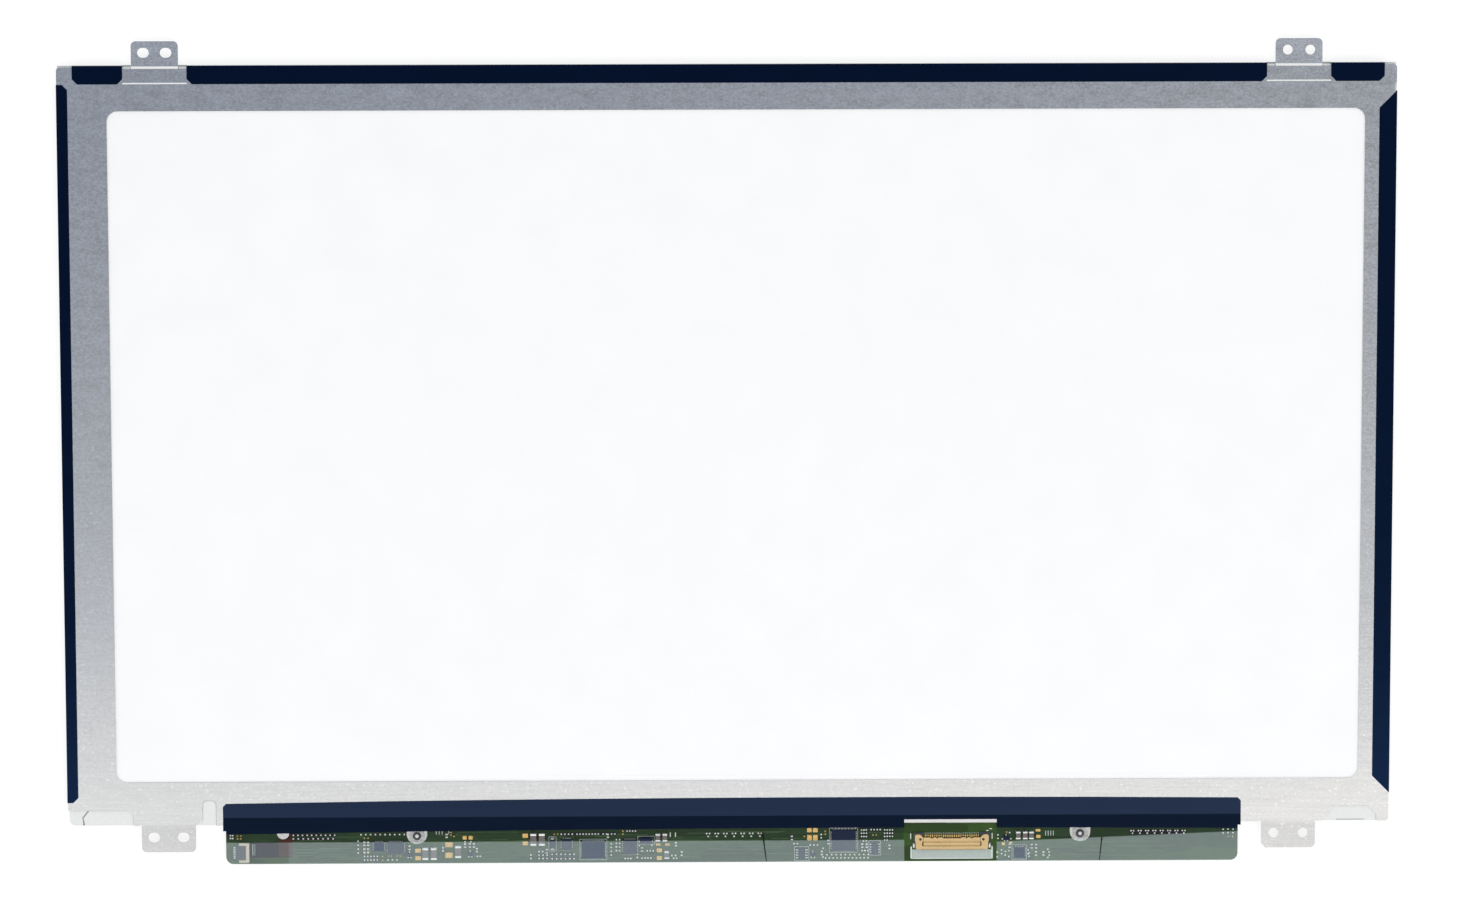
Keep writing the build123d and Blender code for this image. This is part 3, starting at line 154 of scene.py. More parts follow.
def on_board(places):
    """Board places, given in millimetres from the board's left end and lower edge, as metres in the frame."""
    places = np.asarray(places, float).reshape(-1, 2)
    return places * MM + np.array([BOARD_LOW.x, BOARD_LOW.y])


def put_rings(name, rings, material, closed=False, smooth=True):
    """Joins rings of points into closed skins.

    rings holds N skins of R rings of C points. Each ring runs anticlockwise seen from the next one.
    Neighbouring rings are joined by quads. An open row of rings gets a flat face at each end, and a closed
    one joins its last ring to its first.
    """
    skins, rows, columns = rings.shape[:3]
    steps = rows if closed else rows - 1
    row, column = np.meshgrid(np.arange(steps), np.arange(columns), indexing="ij")
    above = (row + 1) % rows
    ahead = (column + 1) % columns
    below = row * columns
    above = above * columns
    quads = np.stack([below + column, below + ahead, above + ahead, above + column], axis=-1).reshape(1, -1, 4)
    first = (np.arange(skins) * rows * columns).reshape(-1, 1, 1)
    corners = (quads + first).reshape(-1)
    sizes = np.full(skins * steps * columns, 4)
    if not closed:
        low = np.arange(columns)[::-1]
        high = np.arange(columns) + (rows - 1) * columns
        ends = (np.stack([low, high]).reshape(1, 2, columns) + first).reshape(-1)
        corners = np.concatenate([corners, ends])
        sizes = np.concatenate([sizes, np.full(skins * 2, columns)])
    starts = np.concatenate([[0], np.cumsum(sizes)[:-1]])
    mesh = bpy.data.meshes.new(name)
    mesh.vertices.add(skins * rows * columns)
    mesh.vertices.foreach_set("co", rings.reshape(-1).astype(np.float32))
    mesh.loops.add(len(corners))
    mesh.loops.foreach_set("vertex_index", corners.astype(np.int32))
    mesh.polygons.add(len(sizes))
    mesh.polygons.foreach_set("loop_start", starts.astype(np.int32))
    mesh.polygons.foreach_set("use_smooth", np.full(len(sizes), smooth))
    mesh.update(calc_edges=True)
    if mesh.validate():
        raise RuntimeError(f"the mesh of {name} has faulty faces")
    mesh.materials.append(material)
    piece = bpy.data.objects.new(name, mesh)
    bpy.context.scene.collection.objects.link(piece)
    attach(piece, BODY)
    return piece


# Profiles of plates from the board upwards: shares of the outline and of the rise.
FLAT_PAD = ((1.0, 0.0), (1.0, 0.75), (0.96, 1.0))
SOLDER_DOT = ((1.0, 0.0), (0.94, 0.45), (0.72, 0.82), (0.36, 1.0))
END_CAP = ((1.0, 0.0), (1.0, 0.86), (0.95, 0.97), (0.85, 1.0))
FILLET = ((1.0, 0.0), (0.86, 0.22), (0.76, 0.55), (0.70, 1.0))
STAKED_HEAD = ((1.0, 0.0), (1.0, 0.55), (0.86, 0.92), (0.62, 1.0), (0.40, 0.84), (0.22, 0.55))


def plates(places, sizes, base, rises, profile, power=8.0, columns=16):
    """Rings of rounded plates.

    The outline is a superellipse: with the angle t, x is half the width times the cosine of t raised to
    2/power with its sign kept, and y is the same of the sine. The profile carries the outline upwards: each of
    its steps scales the outline by its first number and lifts it by its second times the rise.
    """
    places = np.asarray(places, float).reshape(-1, 1, 1, 2)
    sizes = np.asarray(sizes, float).reshape(-1, 1, 1, 2)
    rises = np.asarray(rises, float).reshape(-1, 1, 1)
    angle = (np.arange(columns) + 0.5) * 2.0 * np.pi / columns
    circle = np.stack([np.cos(angle), np.sin(angle)], axis=-1)
    outline = np.sign(circle) * np.abs(circle) ** (2.0 / power)
    steps = np.asarray(profile, float)
    flat = places + 0.5 * sizes * outline.reshape(1, 1, columns, 2) * steps[:, 0].reshape(1, -1, 1, 1)
    high = base + rises * steps[:, 1].reshape(1, -1, 1) * np.ones((1, 1, columns))
    high = np.broadcast_to(high, flat.shape[:3])
    return np.concatenate([flat, high[..., None]], axis=-1)


def ribbons(paths, width, base, rise, closed=False, shoulder=0.8):
    """Rings of flat raised lines.

    Each path is a row of flat points. At each point the section is a trapezoid across the path: the full width
    at the base, and the shoulder's share of it at the top. The path's direction there is the difference of the
    neighbouring points. The width is one number, or one for each point.
    """
    paths = np.asarray(paths, float)
    if closed:
        along = np.roll(paths, -1, axis=1) - np.roll(paths, 1, axis=1)
    else:
        along = np.gradient(paths, axis=1)
    along /= np.linalg.norm(along, axis=-1, keepdims=True)
    left = np.stack([-along[..., 1], along[..., 0]], axis=-1)
    half = 0.5 * np.broadcast_to(width, paths.shape[:2])[:, :, None, None]
    across = half * np.array([1.0, shoulder, -shoulder, -1.0]).reshape(1, 1, 4, 1)
    upward = base + rise * np.array([0.0, 1.0, 1.0, 0.0])
    flat = paths[:, :, None, :] + left[:, :, None, :] * across
    high = np.broadcast_to(upward.reshape(1, 1, 4, 1), flat.shape[:3] + (1,))
    return np.concatenate([flat, high], axis=-1)


def box_paths(places, sizes, corner, arc_steps=4):
    """Closed paths round rectangles: a quarter circle of the corner's radius about each corner's centre."""
    places = np.asarray(places, float).reshape(-1, 1, 2)
    sizes = np.asarray(sizes, float).reshape(-1, 1, 2)
    quarter = np.repeat(np.arange(4), arc_steps)
    angle = (quarter + np.tile(np.linspace(0.0, 1.0, arc_steps), 4)) * np.pi / 2.0
    side = np.array([[1, 1], [-1, 1], [-1, -1], [1, -1]])[quarter]
    arc = corner * np.stack([np.cos(angle), np.sin(angle)], axis=-1)
    return places + side.reshape(1, -1, 2) * (0.5 * sizes - corner) + arc.reshape(1, -1, 2)


def ring_paths(places, radius, steps=32):
    """Closed circular paths of the given radius."""
    angle = np.arange(steps) * 2.0 * np.pi / steps
    circle = radius * np.stack([np.cos(angle), np.sin(angle)], axis=-1)
    return np.asarray(places, float).reshape(-1, 1, 2) + circle.reshape(1, -1, 2)


LEAD_SEAT = 0.6


def bent_leads(places, outward, reach, width, thickness, shoulder_rise, steps=6):
    """Rings of bent chip leads.

    A lead starts on its chip's side at shoulder_rise above the board, runs outwards by reach and drops to the
    board along a smooth step: the height falls with 3t^2 - 2t^3, where t goes from 0 to 1 between a fifth and
    four fifths of the reach. Its section is a rectangle square to that path.
    """
    places = np.asarray(places, float).reshape(-1, 2)
    outward = np.asarray(outward, float).reshape(-1, 2)
    reach = np.broadcast_to(np.asarray(reach, float), (len(places),)).reshape(-1, 1)
    width = np.broadcast_to(np.asarray(width, float), (len(places),)).reshape(-1, 1, 1, 1)
    shoulder_rise = np.broadcast_to(np.asarray(shoulder_rise, float), (len(places),)).reshape(-1, 1)
    run = np.linspace(0.0, 1.0, steps).reshape(1, -1)
    drop = np.clip((run - 0.2) / 0.6, 0.0, 1.0)
    fall = drop * drop * (3.0 - 2.0 * drop)
    height = LEAD_SEAT * thickness + shoulder_rise * (1.0 - fall)
    distance = reach * run
    spot = places[:, None, :] + outward[:, None, :] * distance[..., None]
    centre = np.concatenate([spot, (BOARD_BACK + height)[..., None]], axis=-1)
    along = np.gradient(centre, axis=1)
    along /= np.linalg.norm(along, axis=-1, keepdims=True)
    side = np.stack([-outward[:, 1], outward[:, 0], np.zeros(len(outward))], axis=-1)
    side = np.broadcast_to(side[:, None, :], along.shape)
    normal = np.cross(along, side)
    across = np.array([0.5, 0.5, -0.5, -0.5]).reshape(1, 1, 4, 1) * width
    upward = np.array([-0.5, 0.5, 0.5, -0.5]).reshape(1, 1, 4, 1) * thickness
    return centre[:, :, None, :] + side[:, :, None, :] * across + normal[:, :, None, :] * upward


def dot_rows(rows):
    """Places of dots in rows. Each row is its first place, its count and the step to the next dot."""
    found = [
        np.array([u, v]) + np.arange(count).reshape(-1, 1) * np.array([step_u, step_v])
        for u, v, count, step_u, step_v in rows
    ]
    return on_board(np.concatenate(found))


def add_node(tree, kind, inputs, **settings):
    """A new node with its settings made and each input linked to a node's value or set to a plain one."""
    node = tree.nodes.new("ShaderNode" + kind)
    for name, value in settings.items():
        setattr(node, name, value)
    for name, value in inputs.items():
        if isinstance(value, bpy.types.NodeSocket):
            tree.links.new(value, node.inputs[name])
        else:
            node.inputs[name].default_value = value
    return node


def opaque(paint):
    """A plain colour with full cover. A node's colour stays as it is."""
    return paint if isinstance(paint, bpy.types.NodeSocket) else (*paint, 1.0)


EVEN = (1.0, 1.0, 1.0)
WHITE = (1.0, 1.0, 1.0, 1.0)


class Finish:
    """One material under construction, with short ways to add the nodes that it needs."""

    def __init__(self, name, roughness=0.5, metallic=0.0, specular=0.5):
        self.material = bpy.data.materials.new(name)
        self.material.use_nodes = True
        self.tree = self.material.node_tree
        self.shader = self.tree.nodes["Principled BSDF"]
        self.shader.inputs["Roughness"].default_value = roughness
        self.shader.inputs["Metallic"].default_value = metallic
        self.shader.inputs["Specular IOR Level"].default_value = specular
        self.place = self.add("TexCoord", {}).outputs["Object"]

    def add(self, kind, inputs, **settings):
        """A new node of this material."""
        return add_node(self.tree, kind, inputs, **settings)

    def drive(self, socket, value):
        """Sets one of the shader's sockets from a node."""
        self.tree.links.new(value, self.shader.inputs[socket])

    def grid(self, size, stretch):
        """Places counted in lumps of the given size in millimetres, longer where stretch is more than one."""
        scale = [1.0 / (size * MM * part) for part in stretch]
        return self.add("Mapping", {"Vector": self.place, "Scale": scale}).outputs["Vector"]

    def noise(self, size, detail=3.0, rough=0.55, stretch=EVEN):
        """Noise with lumps of about the given size in millimetres."""
        inputs = {"Vector": self.grid(size, stretch), "Scale": 1.0, "Detail": detail, "Roughness": rough}
        return self.add("TexNoise", inputs).outputs["Fac"]

    def cells(self, size, stretch=EVEN):
        """A grey value for each of many square-edged cells of about the given size in millimetres."""
        inputs = {"Vector": self.grid(size, stretch), "Scale": 1.0}
        texture = self.add("TexVoronoi", inputs, distance="CHEBYCHEV")
        return self.add("SeparateColor", {"Color": texture.outputs["Color"]}).outputs["Red"]

    def mix(self, first, second, part):
        """Two grey values mixed, with the given part of the second. The part is a number or a value too."""
        return self.add("Mix", {"Factor": part, "A": first, "B": second}).outputs["Result"]

    def blend(self, first, second, part):
        """A colour that goes from the first to the second as part goes from 0 to 1."""
        return self.add("Mix", {0: part, 6: opaque(first), 7: opaque(second)}, data_type="RGBA").outputs[2]

    def scaled(self, paint, part):
        """A colour made lighter or darker by a value."""
        return self.add("VectorMath", {0: paint, "Scale": part}, operation="SCALE").outputs["Vector"]

    def reach(self, axis, low, high):
        """0 below low and 1 above high along X, Y or Z, in millimetres."""
        parts = self.add("SeparateXYZ", {"Vector": self.place})
        return self.span(parts.outputs[axis], 0.0, 1.0, low * MM, high * MM)

    def join(self, operation, first, second):
        """Two values put together by the given kind of arithmetic."""
        return self.add("Math", {0: first, 1: second}, operation=operation).outputs["Value"]

    def slant(self, slope, low, high):
        """0 below low and 1 above high of Y less slope times X, in millimetres."""
        node = self.add("VectorMath", {0: self.place, 1: (-slope, 1.0, 0.0)}, operation="DOT_PRODUCT")
        return self.span(node.outputs["Value"], 0.0, 1.0, low * MM, high * MM)

    def ramp(self, value, stops):
        """Colours along a value: each stop is a place from 0 to 1 and a colour."""
        node = self.add("ValToRGB", {"Fac": value})
        points = node.color_ramp.elements
        while len(points) < len(stops):
            points.new(0.5)
        for point, (place, paint) in zip(points, stops):
            point.position = place
            point.color = opaque(paint)
        return node.outputs["Color"]

    def shades(self, value, paint, dark, light, low=0.35, high=0.65):
        """A colour along a value, from its dark share at low to its light share at high."""
        return self.ramp(value, ((low, shade(paint, dark)), (high, shade(paint, light))))

    def span(self, value, low, high, from_low=0.3, from_high=0.7):
        """A value stretched from its usual range to the given one."""
        inputs = {"Value": value, "From Min": from_low, "From Max": from_high, "To Min": low, "To Max": high}
        return self.add("MapRange", inputs).outputs["Result"]

    def facing(self, axis, low, high):
        """0 where the surface faces along X, Y or Z by less than low, and 1 where by more than high."""
        normal = self.add("NewGeometry", {}).outputs["Normal"]
        parts = self.add("SeparateXYZ", {"Vector": normal})
        return self.span(parts.outputs[axis], 0.0, 1.0, low, high)

    def paint(self, value):
        """Sets the surface's colour from a node."""
        self.drive("Base Color", value)

    def polish(self, value):
        """Sets the roughness from a node."""
        self.drive("Roughness", value)

    def bump(self, value, depth, strength=1.0):
        """Raises the surface by a value times depth in millimetres."""
        node = self.add("Bump", {"Strength": strength, "Distance": depth * MM, "Height": value})
        self.drive("Normal", node.outputs["Normal"])


def shade(paint, part):
    """A colour made lighter or darker by a factor."""
    return tuple(min(1.0, value * part) for value in paint)


def mottled(
    name, paint, size, spread=0.08, roughness=0.5, metallic=0.0, specular=0.5, bump=0.004, stretch=EVEN
):
    """A finish whose colour, roughness and height drift with a fine noise."""
    finish = Finish(name, roughness, metallic, specular)
    grain = finish.noise(size, detail=4.0, stretch=stretch)
    finish.paint(finish.shades(grain, paint, 1.0 - spread, 1.0 + spread, 0.3, 0.7))
    finish.polish(finish.span(grain, roughness * 0.85, roughness * 1.15))
    finish.bump(grain, bump)
    return finish.material


# The chassis along Y, in millimetres of the frame, and the painted highlight of its slopes that face +Y.
SHEET_REACH = (-112.0, 109.0)
GRAIN_REACH = (-100.0, 60.0)
PAINTED_BEND_HIGHLIGHT = (0.96, 0.96, 0.96)


def steel_finish(finishes):
    """Plated sheet steel: a fine grain that fades towards the board, light specks, and a painted highlight on
    the slopes that face +Y.

    The sheet's level drifts along Y: painted shade darkens the lower tabs, the rim by the board is warmer and
    lighter, and painted light brightens the upper tabs.
    """
    finish = Finish("plated_steel", finishes.steel_roughness, 1.0)
    clouds = finish.noise(3.0, detail=3.0, stretch=(2.2, 1.0, 1.0))
    grain = finish.noise(0.55, detail=4.0, rough=0.75, stretch=(1.4, 1.0, 1.0))
    streaks = finish.noise(0.5, detail=3.0, stretch=(24.0, 1.0, 1.0))
    specks = finish.noise(0.9, detail=1.0)
    cloud_grain = finish.mix(clouds, grain, 0.75)
    streak_grain = finish.mix(streaks, cloud_grain, 0.5)
    paint = finishes.steel
    rim = finishes.rim_steel
    # Painted shade on the lower tabs and painted light on the upper tabs, beside a warmer, lighter rim by the
    # board.
    level = finish.ramp(
        finish.reach("Y", *SHEET_REACH),
        ((0.033, shade(rim, 0.86)), (0.038, rim), (0.09, rim), (0.30, shade(paint, 0.98)), (0.965, paint),
         (0.97, shade(paint, 1.14))),
    )
    strong = finish.span(cloud_grain, 0.72, 1.30, 0.38, 0.62)
    faint = finish.span(streak_grain, 0.94, 1.06, 0.36, 0.64)
    base = finish.scaled(level, finish.mix(faint, strong, finish.reach("Y", *GRAIN_REACH)))
    light = finish.span(specks, 0.0, 0.40, 0.64, 0.76)
    flecked = finish.blend(base, shade(paint, 1.5), light)
    # Painted highlight: slopes that face +Y, such as the bends at the tab roots, are painted lighter.
    finish.paint(finish.blend(flecked, PAINTED_BEND_HIGHLIGHT, finish.facing("Y", 0.10, 0.30)))
    rough = finishes.steel_roughness
    finish.polish(finish.span(cloud_grain, rough * 1.1, rough * 0.9, 0.4, 0.6))
    finish.bump(grain, 0.002, 0.5)
    return finish.material


def tape_finish(name, finishes, sheen):
    """Black polyester tape: a blue sheen, faint streaks along its length and slight waves from the laying."""
    finish = Finish(name, 0.13, 0.0, 0.51)
    finish.shader.inputs["Specular Tint"].default_value = (*sheen, 1.0)
    streaks = finish.noise(0.7, detail=3.0, stretch=(30.0, 1.0, 1.0))
    waves = finish.noise(7.0, detail=2.0, stretch=(2.0, 1.0, 1.0))
    both = finish.mix(streaks, waves, 0.5)
    finish.paint(finish.shades(both, finishes.tape, 0.8, 1.35))
    finish.polish(finish.span(both, 0.11, 0.16))
    finish.bump(waves, 0.008, 0.4)
    return finish.material


# Places on the film, in millimetres of the frame.
FILM_CREASE = -108.9
LEFT_FILM_END = 47.7
RIGHT_FILM_END = 72.9
RIGHT_CREASE_SLOPE = 0.0401
RIGHT_CREASE = -112.4
TAIL_LEFT = -130.6
TAIL_RIGHT = -119.9


def mask_finish(paints):
    """Green mask: lighter over copper, darkened by painted shade under the sloping film, and bare fibre on the
    cut edges.
    """
    finish = Finish("green_mask", 0.38, 0.0, 0.12)
    areas = finish.cells(6.0, stretch=(2.2, 0.5, 1.0))
    peel = finish.noise(0.5, detail=3.0)
    both = finish.mix(areas, peel, 0.35)
    levels = ((0.25, 0.78), (0.48, 0.95), (0.55, 1.12), (0.8, 1.3))
    bare = finish.ramp(both, [(place, shade(paints.mask, level)) for place, level in levels])
    fibre = finish.noise(0.25, detail=2.0, stretch=(8.0, 8.0, 1.0))
    edge = finish.shades(fibre, paints.board_edge, 0.7, 1.2)
    # Painted shade: above the crease and outside the film's cut-out, where the sloping film shades the board.
    beside = finish.join("MAXIMUM", finish.reach("X", LEFT_FILM_END, LEFT_FILM_END - 0.5),
                         finish.reach("X", RIGHT_FILM_END, RIGHT_FILM_END + 0.5))
    shaded = finish.join("MULTIPLY", beside, finish.reach("Y", FILM_CREASE - 0.2, FILM_CREASE + 0.2))
    painted_mask_shade = finish.shades(both, paints.mask_in_painted_shade, 0.82, 1.18, 0.3, 0.7)
    top = finish.blend(bare, painted_mask_shade, shaded)
    finish.paint(finish.blend(edge, top, finish.facing("Z", 0.4, 0.6)))
    finish.polish(finish.span(peel, 0.32, 0.44))
    finish.bump(both, 0.012, 0.6)
    return finish.material


def film_finish(finishes):
    """Clear film: a little smoky where it slopes, milky where it lies stuck, and less so over the tail.
    The milky white is a painted reflection of the bright room in the flat film.

    It lies stuck below the crease, which is straight in the left and middle lengths and slants in the right.
    """
    finish = Finish("clear_film", 0.3, 0.0, 0.2)
    waves = finish.noise(9.0, detail=2.0, stretch=(2.5, 1.0, 1.0))
    straight = finish.reach("Y", FILM_CREASE + 0.1, FILM_CREASE - 0.1)
    slanted = finish.slant(RIGHT_CREASE_SLOPE, RIGHT_CREASE + 0.1, RIGHT_CREASE - 0.1)
    stuck = finish.mix(straight, slanted, finish.reach("X", RIGHT_FILM_END - 0.1, RIGHT_FILM_END))
    # Painted reflection: the milky white stands in for the bright room mirrored where the film lies flat.
    milky_reflection = finish.ramp(waves, ((0.3, (0.71, 0.83, 0.87)), (0.7, (0.75, 0.88, 0.92))))
    smoky = finish.ramp(waves, ((0.3, (0.020, 0.030, 0.034)), (0.7, (0.030, 0.040, 0.044))))
    finish.paint(finish.blend(smoky, milky_reflection, stuck))
    loose = finish.join("MULTIPLY", finish.reach("X", TAIL_LEFT - 0.2, TAIL_LEFT),
                        finish.reach("X", TAIL_RIGHT + 0.2, TAIL_RIGHT))
    most = finish.span(loose, finishes.stuck_film_reflection, finishes.loose_film_reflection, 0.0, 1.0)
    least = finishes.film_clear / finishes.stuck_film_reflection
    cover = finish.join("MULTIPLY", most, finish.span(stuck, least, 1.0, 0.0, 1.0))
    finish.drive("Alpha", cover)
    finish.polish(finish.span(waves, 0.25, 0.35))
    finish.bump(waves, 0.05, 0.35)
    return finish.material


# Limits of the tail's leg along X and of the diodes' strip along Y, in millimetres of the frame.
TAIL_LEG_LEFT = -122.6
STRIP_LOW = -100.0
DIODE_WHITE = (0.82, 0.82, 0.80)
PHOSPHOR = (0.80, 0.60, 0.06)
BARE_SILICON = (0.06, 0.06, 0.075)


def flex_finish(paints):
    """Coat of the light bar: white along the diodes, violet-grey on the tail, brown on the leg between."""
    finish = Finish("flex_coat", 0.6, 0.0, 0.06)
    tracks = finish.noise(0.55, detail=0.0, stretch=(25.0, 1.0, 1.0))
    grain = finish.noise(0.4, detail=3.0)
    both = finish.mix(tracks, grain, 0.4)
    tail = finish.shades(both, paints.flex, 0.75, 1.3)
    leg = finish.shades(both, paints.flex_leg, 0.75, 1.3)
    coat = finish.shades(grain, paints.flex_coat, 0.95, 1.03)
    lower = finish.blend(tail, leg, finish.reach("X", TAIL_LEG_LEFT - 0.1, TAIL_LEG_LEFT + 0.1))
    finish.paint(finish.blend(lower, coat, finish.reach("Y", STRIP_LOW - 0.1, STRIP_LOW)))
    finish.polish(finish.span(grain, 0.52, 0.68))
    finish.bump(tracks, 0.02, 0.7)
    return finish.material


def dress(material, *names):
    """Gives CAD nodes a finish in place of their plain one."""
    for name in names:
        slots = NODES[name].material_slots
        if not slots:
            raise RuntimeError(f"node {name} has no material slot")
        for slot in slots:
            slot.material = material


class SCREEN_PANEL_OT_chassis(bpy.types.Operator):
    """Plated steel on the pressed chassis"""

    bl_idname = "screen_panel.chassis"
    bl_label = "Rear chassis"

    def execute(self, context):
        dress(steel_finish(context.scene.panel_finishes), "rear_chassis")
        return {"FINISHED"}


class SCREEN_PANEL_OT_tapes(bpy.types.Operator):
    """Black tape along the edges, round the glass and over the board's root"""

    bl_idname = "screen_panel.tapes"
    bl_label = "Black tapes"

    def execute(self, context):
        finishes = context.scene.panel_finishes
        edge = tape_finish("edge_tape", finishes, finishes.edge_sheen)
        dress(edge, "top_edge_tape", "left_edge_tape", "right_edge_tape")
        dress(edge, "bottom_front_tape", "cell_seat_tape")
        dress(tape_finish("board_tape", finishes, finishes.board_sheen), "bottom_back_tape")
        return {"FINISHED"}


class SCREEN_PANEL_OT_mould_frame(bpy.types.Operator):
    """White moulded frame"""

    bl_idname = "screen_panel.mould_frame"
    bl_label = "Mould frame"

    def execute(self, context):
        finishes = context.scene.panel_finishes
        dress(mottled("white_moulding", finishes.frame, 0.8, 0.03, 0.5, bump=0.006), "mold_frame")
        return {"FINISHED"}


class SCREEN_PANEL_OT_light_box(bpy.types.Operator):
    """White reflector and the clear and milky sheets in front of it"""

    bl_idname = "screen_panel.light_box"
    bl_label = "Light box sheets"

    def execute(self, context):
        finishes = context.scene.panel_finishes
        white = mottled("reflector_white", finishes.reflector, 14.0, 0.012, 0.45, specular=0.3, bump=0.01)
        dress(white, "reflector_sheet", "reflector_edge_strip")
        sheet = mottled("light_sheet", finishes.light_sheet, 3.0, 0.02, 0.35, bump=0.002)
        dress(sheet, "upper_diffuser", "lower_diffuser", "light_guide")
        dress(sheet, "upper_prism_sheet", "lower_prism_sheet")
        return {"FINISHED"}


class SCREEN_PANEL_OT_light_bar(bpy.types.Operator):
    """Flexible light bar, its diodes and their phosphor windows"""

    bl_idname = "screen_panel.light_bar"
    bl_label = "Light bar"

    def execute(self, context):
        paints = context.scene.board_finishes
        dress(flex_finish(paints), "light_bar_flex")
        dress(mottled("diode_body", DIODE_WHITE, 0.3, 0.03, 0.5), "leds")
        dress(mottled("phosphor_gel", PHOSPHOR, 0.2, 0.10, 0.35), "led_phosphors")
        return {"FINISHED"}


class SCREEN_PANEL_OT_cell(bpy.types.Operator):
    """Glass cell between its two polarizers"""

    bl_idname = "screen_panel.cell"
    bl_label = "Glass cell"

    def execute(self, context):
        finishes = context.scene.panel_finishes
        glass = mottled("cell_glass", finishes.glass, 6.0, 0.06, 0.12, bump=0.001)
        dress(glass, "color_filter_glass", "tft_glass")
        matt = mottled("matt_polarizer", finishes.polarizer, 0.3, 0.12, 0.42, bump=0.004)
        dress(matt, "front_polarizer", "rear_polarizer")
        return {"FINISHED"}


class SCREEN_PANEL_OT_driver_films(bpy.types.Operator):
    """Amber driver films and their bare chips"""

    bl_idname = "screen_panel.driver_films"
    bl_label = "Driver films"

    def execute(self, context):
        paints = context.scene.board_finishes
        amber = mottled("amber_film", paints.amber, 0.4, 0.12, 0.3, stretch=(1.0, 20.0, 1.0))
        dress(amber, "source_driver_films")
        silicon = mottled("bare_silicon", BARE_SILICON, 0.5, 0.08, 0.15, bump=0.001)
        dress(silicon, "source_driver_chips")
        return {"FINISHED"}


class SCREEN_PANEL_OT_board(bpy.types.Operator):
    """Green control board under its clear film"""

    bl_idname = "screen_panel.board"
    bl_label = "Control board"

    def execute(self, context):
        dress(mask_finish(context.scene.board_finishes), "control_board")
        dress(film_finish(context.scene.panel_finishes), "board_film")
        return {"FINISHED"}


class SCREEN_PANEL_OT_connectors(bpy.types.Operator):
    """Signal socket and backlight connector"""

    bl_idname = "screen_panel.connectors"
    bl_label = "Connectors"

    def execute(self, context):
        paints = context.scene.board_finishes
        shell = mottled("shell_plating", paints.shell, 1.2, 0.07, 0.27, 1.0, stretch=(4.0, 1.0, 1.0))
        dress(shell, "signal_connector_shell")
        ivory = mottled("ivory_moulding", paints.ivory, 0.4, 0.05, 0.45)
        dress(ivory, "backlight_connector_lock")
        contacts = mottled("contact_plating", paints.gold, 0.3, 0.08, 0.25, 1.0, bump=0.002)
        dress(contacts, "signal_connector_contacts")
        dress(solder_finish(paints), "backlight_connector_contacts")
        dark = mottled("dark_moulding", paints.dark_plastic, 0.4, 0.10, 0.5, specular=0.25)
        dress(dark, "backlight_connector_housing", "signal_connector_housing")
        return {"FINISHED"}


class SCREEN_PANEL_OT_chips(bpy.types.Operator):
    """Moulded chips, capacitors and resistors"""

    bl_idname = "screen_panel.chips"
    bl_label = "Chips"

    def execute(self, context):
        paints = context.scene.board_finishes
        moulding = mottled("chip_moulding", paints.chip, 0.25, 0.08, 0.46, specular=0.1, bump=0.0015)
        dress(moulding, "timing_controller", "level_shifter", "power_chip", "memory_chip", "load_switch")
        dress(moulding, "buck_chip", "choke", "diode", "transistors")
        stuck = mottled("stuck_moulding", paints.stuck_chip, 0.25, 0.08, 0.46, specular=0.1, bump=0.0015)
        dress(stuck, "gamma_chip", "light_driver_chip", "common_amplifier")
        ceramic = mottled("capacitor_ceramic", paints.ceramic, 0.3, 0.10, 0.42, bump=0.006)
        dress(ceramic, "large_capacitors", "medium_capacitors", "small_capacitors")
        dress(mottled("resistor_glaze", paints.glaze, 0.2, 0.12, 0.28, bump=0.003), "chip_resistors")
        return {"FINISHED"}


def solder_finish(paints):
    """Tin, metallic and a little clouded. The pieces share it."""
    made = bpy.data.materials.get("tin_solder")
    return made or mottled("tin_solder", paints.solder, 0.35, 0.10, 0.34, 0.6, bump=0.01)


def gold_finish(paints):
    """Gold plating, a little clouded. The pieces share it."""
    made = bpy.data.materials.get("pad_gold")
    return made or mottled("pad_gold", paints.gold, 0.4, 0.09, 0.28, 1.0, bump=0.006)


def put_plates(name, spots, base, rise, material):
    """Thin flat plates on the board. Each spot is a place, a width and a depth in millimetres."""
    spots = np.array(spots)
    rings = plates(on_board(spots[:, :2]), spots[:, 2:] * MM, base, rise, FLAT_PAD)
    put_rings(name, rings, material, smooth=False)


# Place, width and depth of each pad, in millimetres from the board's left end and lower edge.
GOLD_PADS = (
    (52.2, 3.5, 1.6, 1.1), (52.2, 1.4, 1.6, 1.1), (60.6, 5.1, 2.0, 1.4), (60.6, 2.2, 2.0, 1.5),
    (64.9, 7.0, 1.1, 1.0), (66.5, 7.0, 1.1, 1.0), (81.4, 7.5, 1.5, 1.2), (81.4, 5.4, 1.5, 1.1),
    (117.9, 3.3, 1.4, 1.1), (117.9, 1.2, 1.4, 1.1), (158.8, 8.7, 1.3, 1.2), (160.4, 8.7, 1.3, 1.2),
    (158.8, 6.6, 1.3, 1.5), (160.4, 6.6, 1.3, 1.5), (221.1, 8.4, 1.3, 0.7), (221.2, 6.7, 1.2, 0.9),
    (117.6, 4.9, 1.3, 0.6), (120.1, 4.9, 1.3, 0.6), (211.7, 4.7, 0.9, 0.8), (213.7, 5.0, 0.8, 0.6),
)


class SCREEN_PANEL_OT_gold_pads(bpy.types.Operator):
    """Bare gold pads of the board"""

    bl_idname = "screen_panel.gold_pads"
    bl_label = "Gold pads"

    def execute(self, context):
        gold = gold_finish(context.scene.board_finishes)
        rise = context.scene.board_sizes.pad_rise
        put_plates("gold_pads", GOLD_PADS, BOARD_BACK, rise, gold)
        return {"FINISHED"}


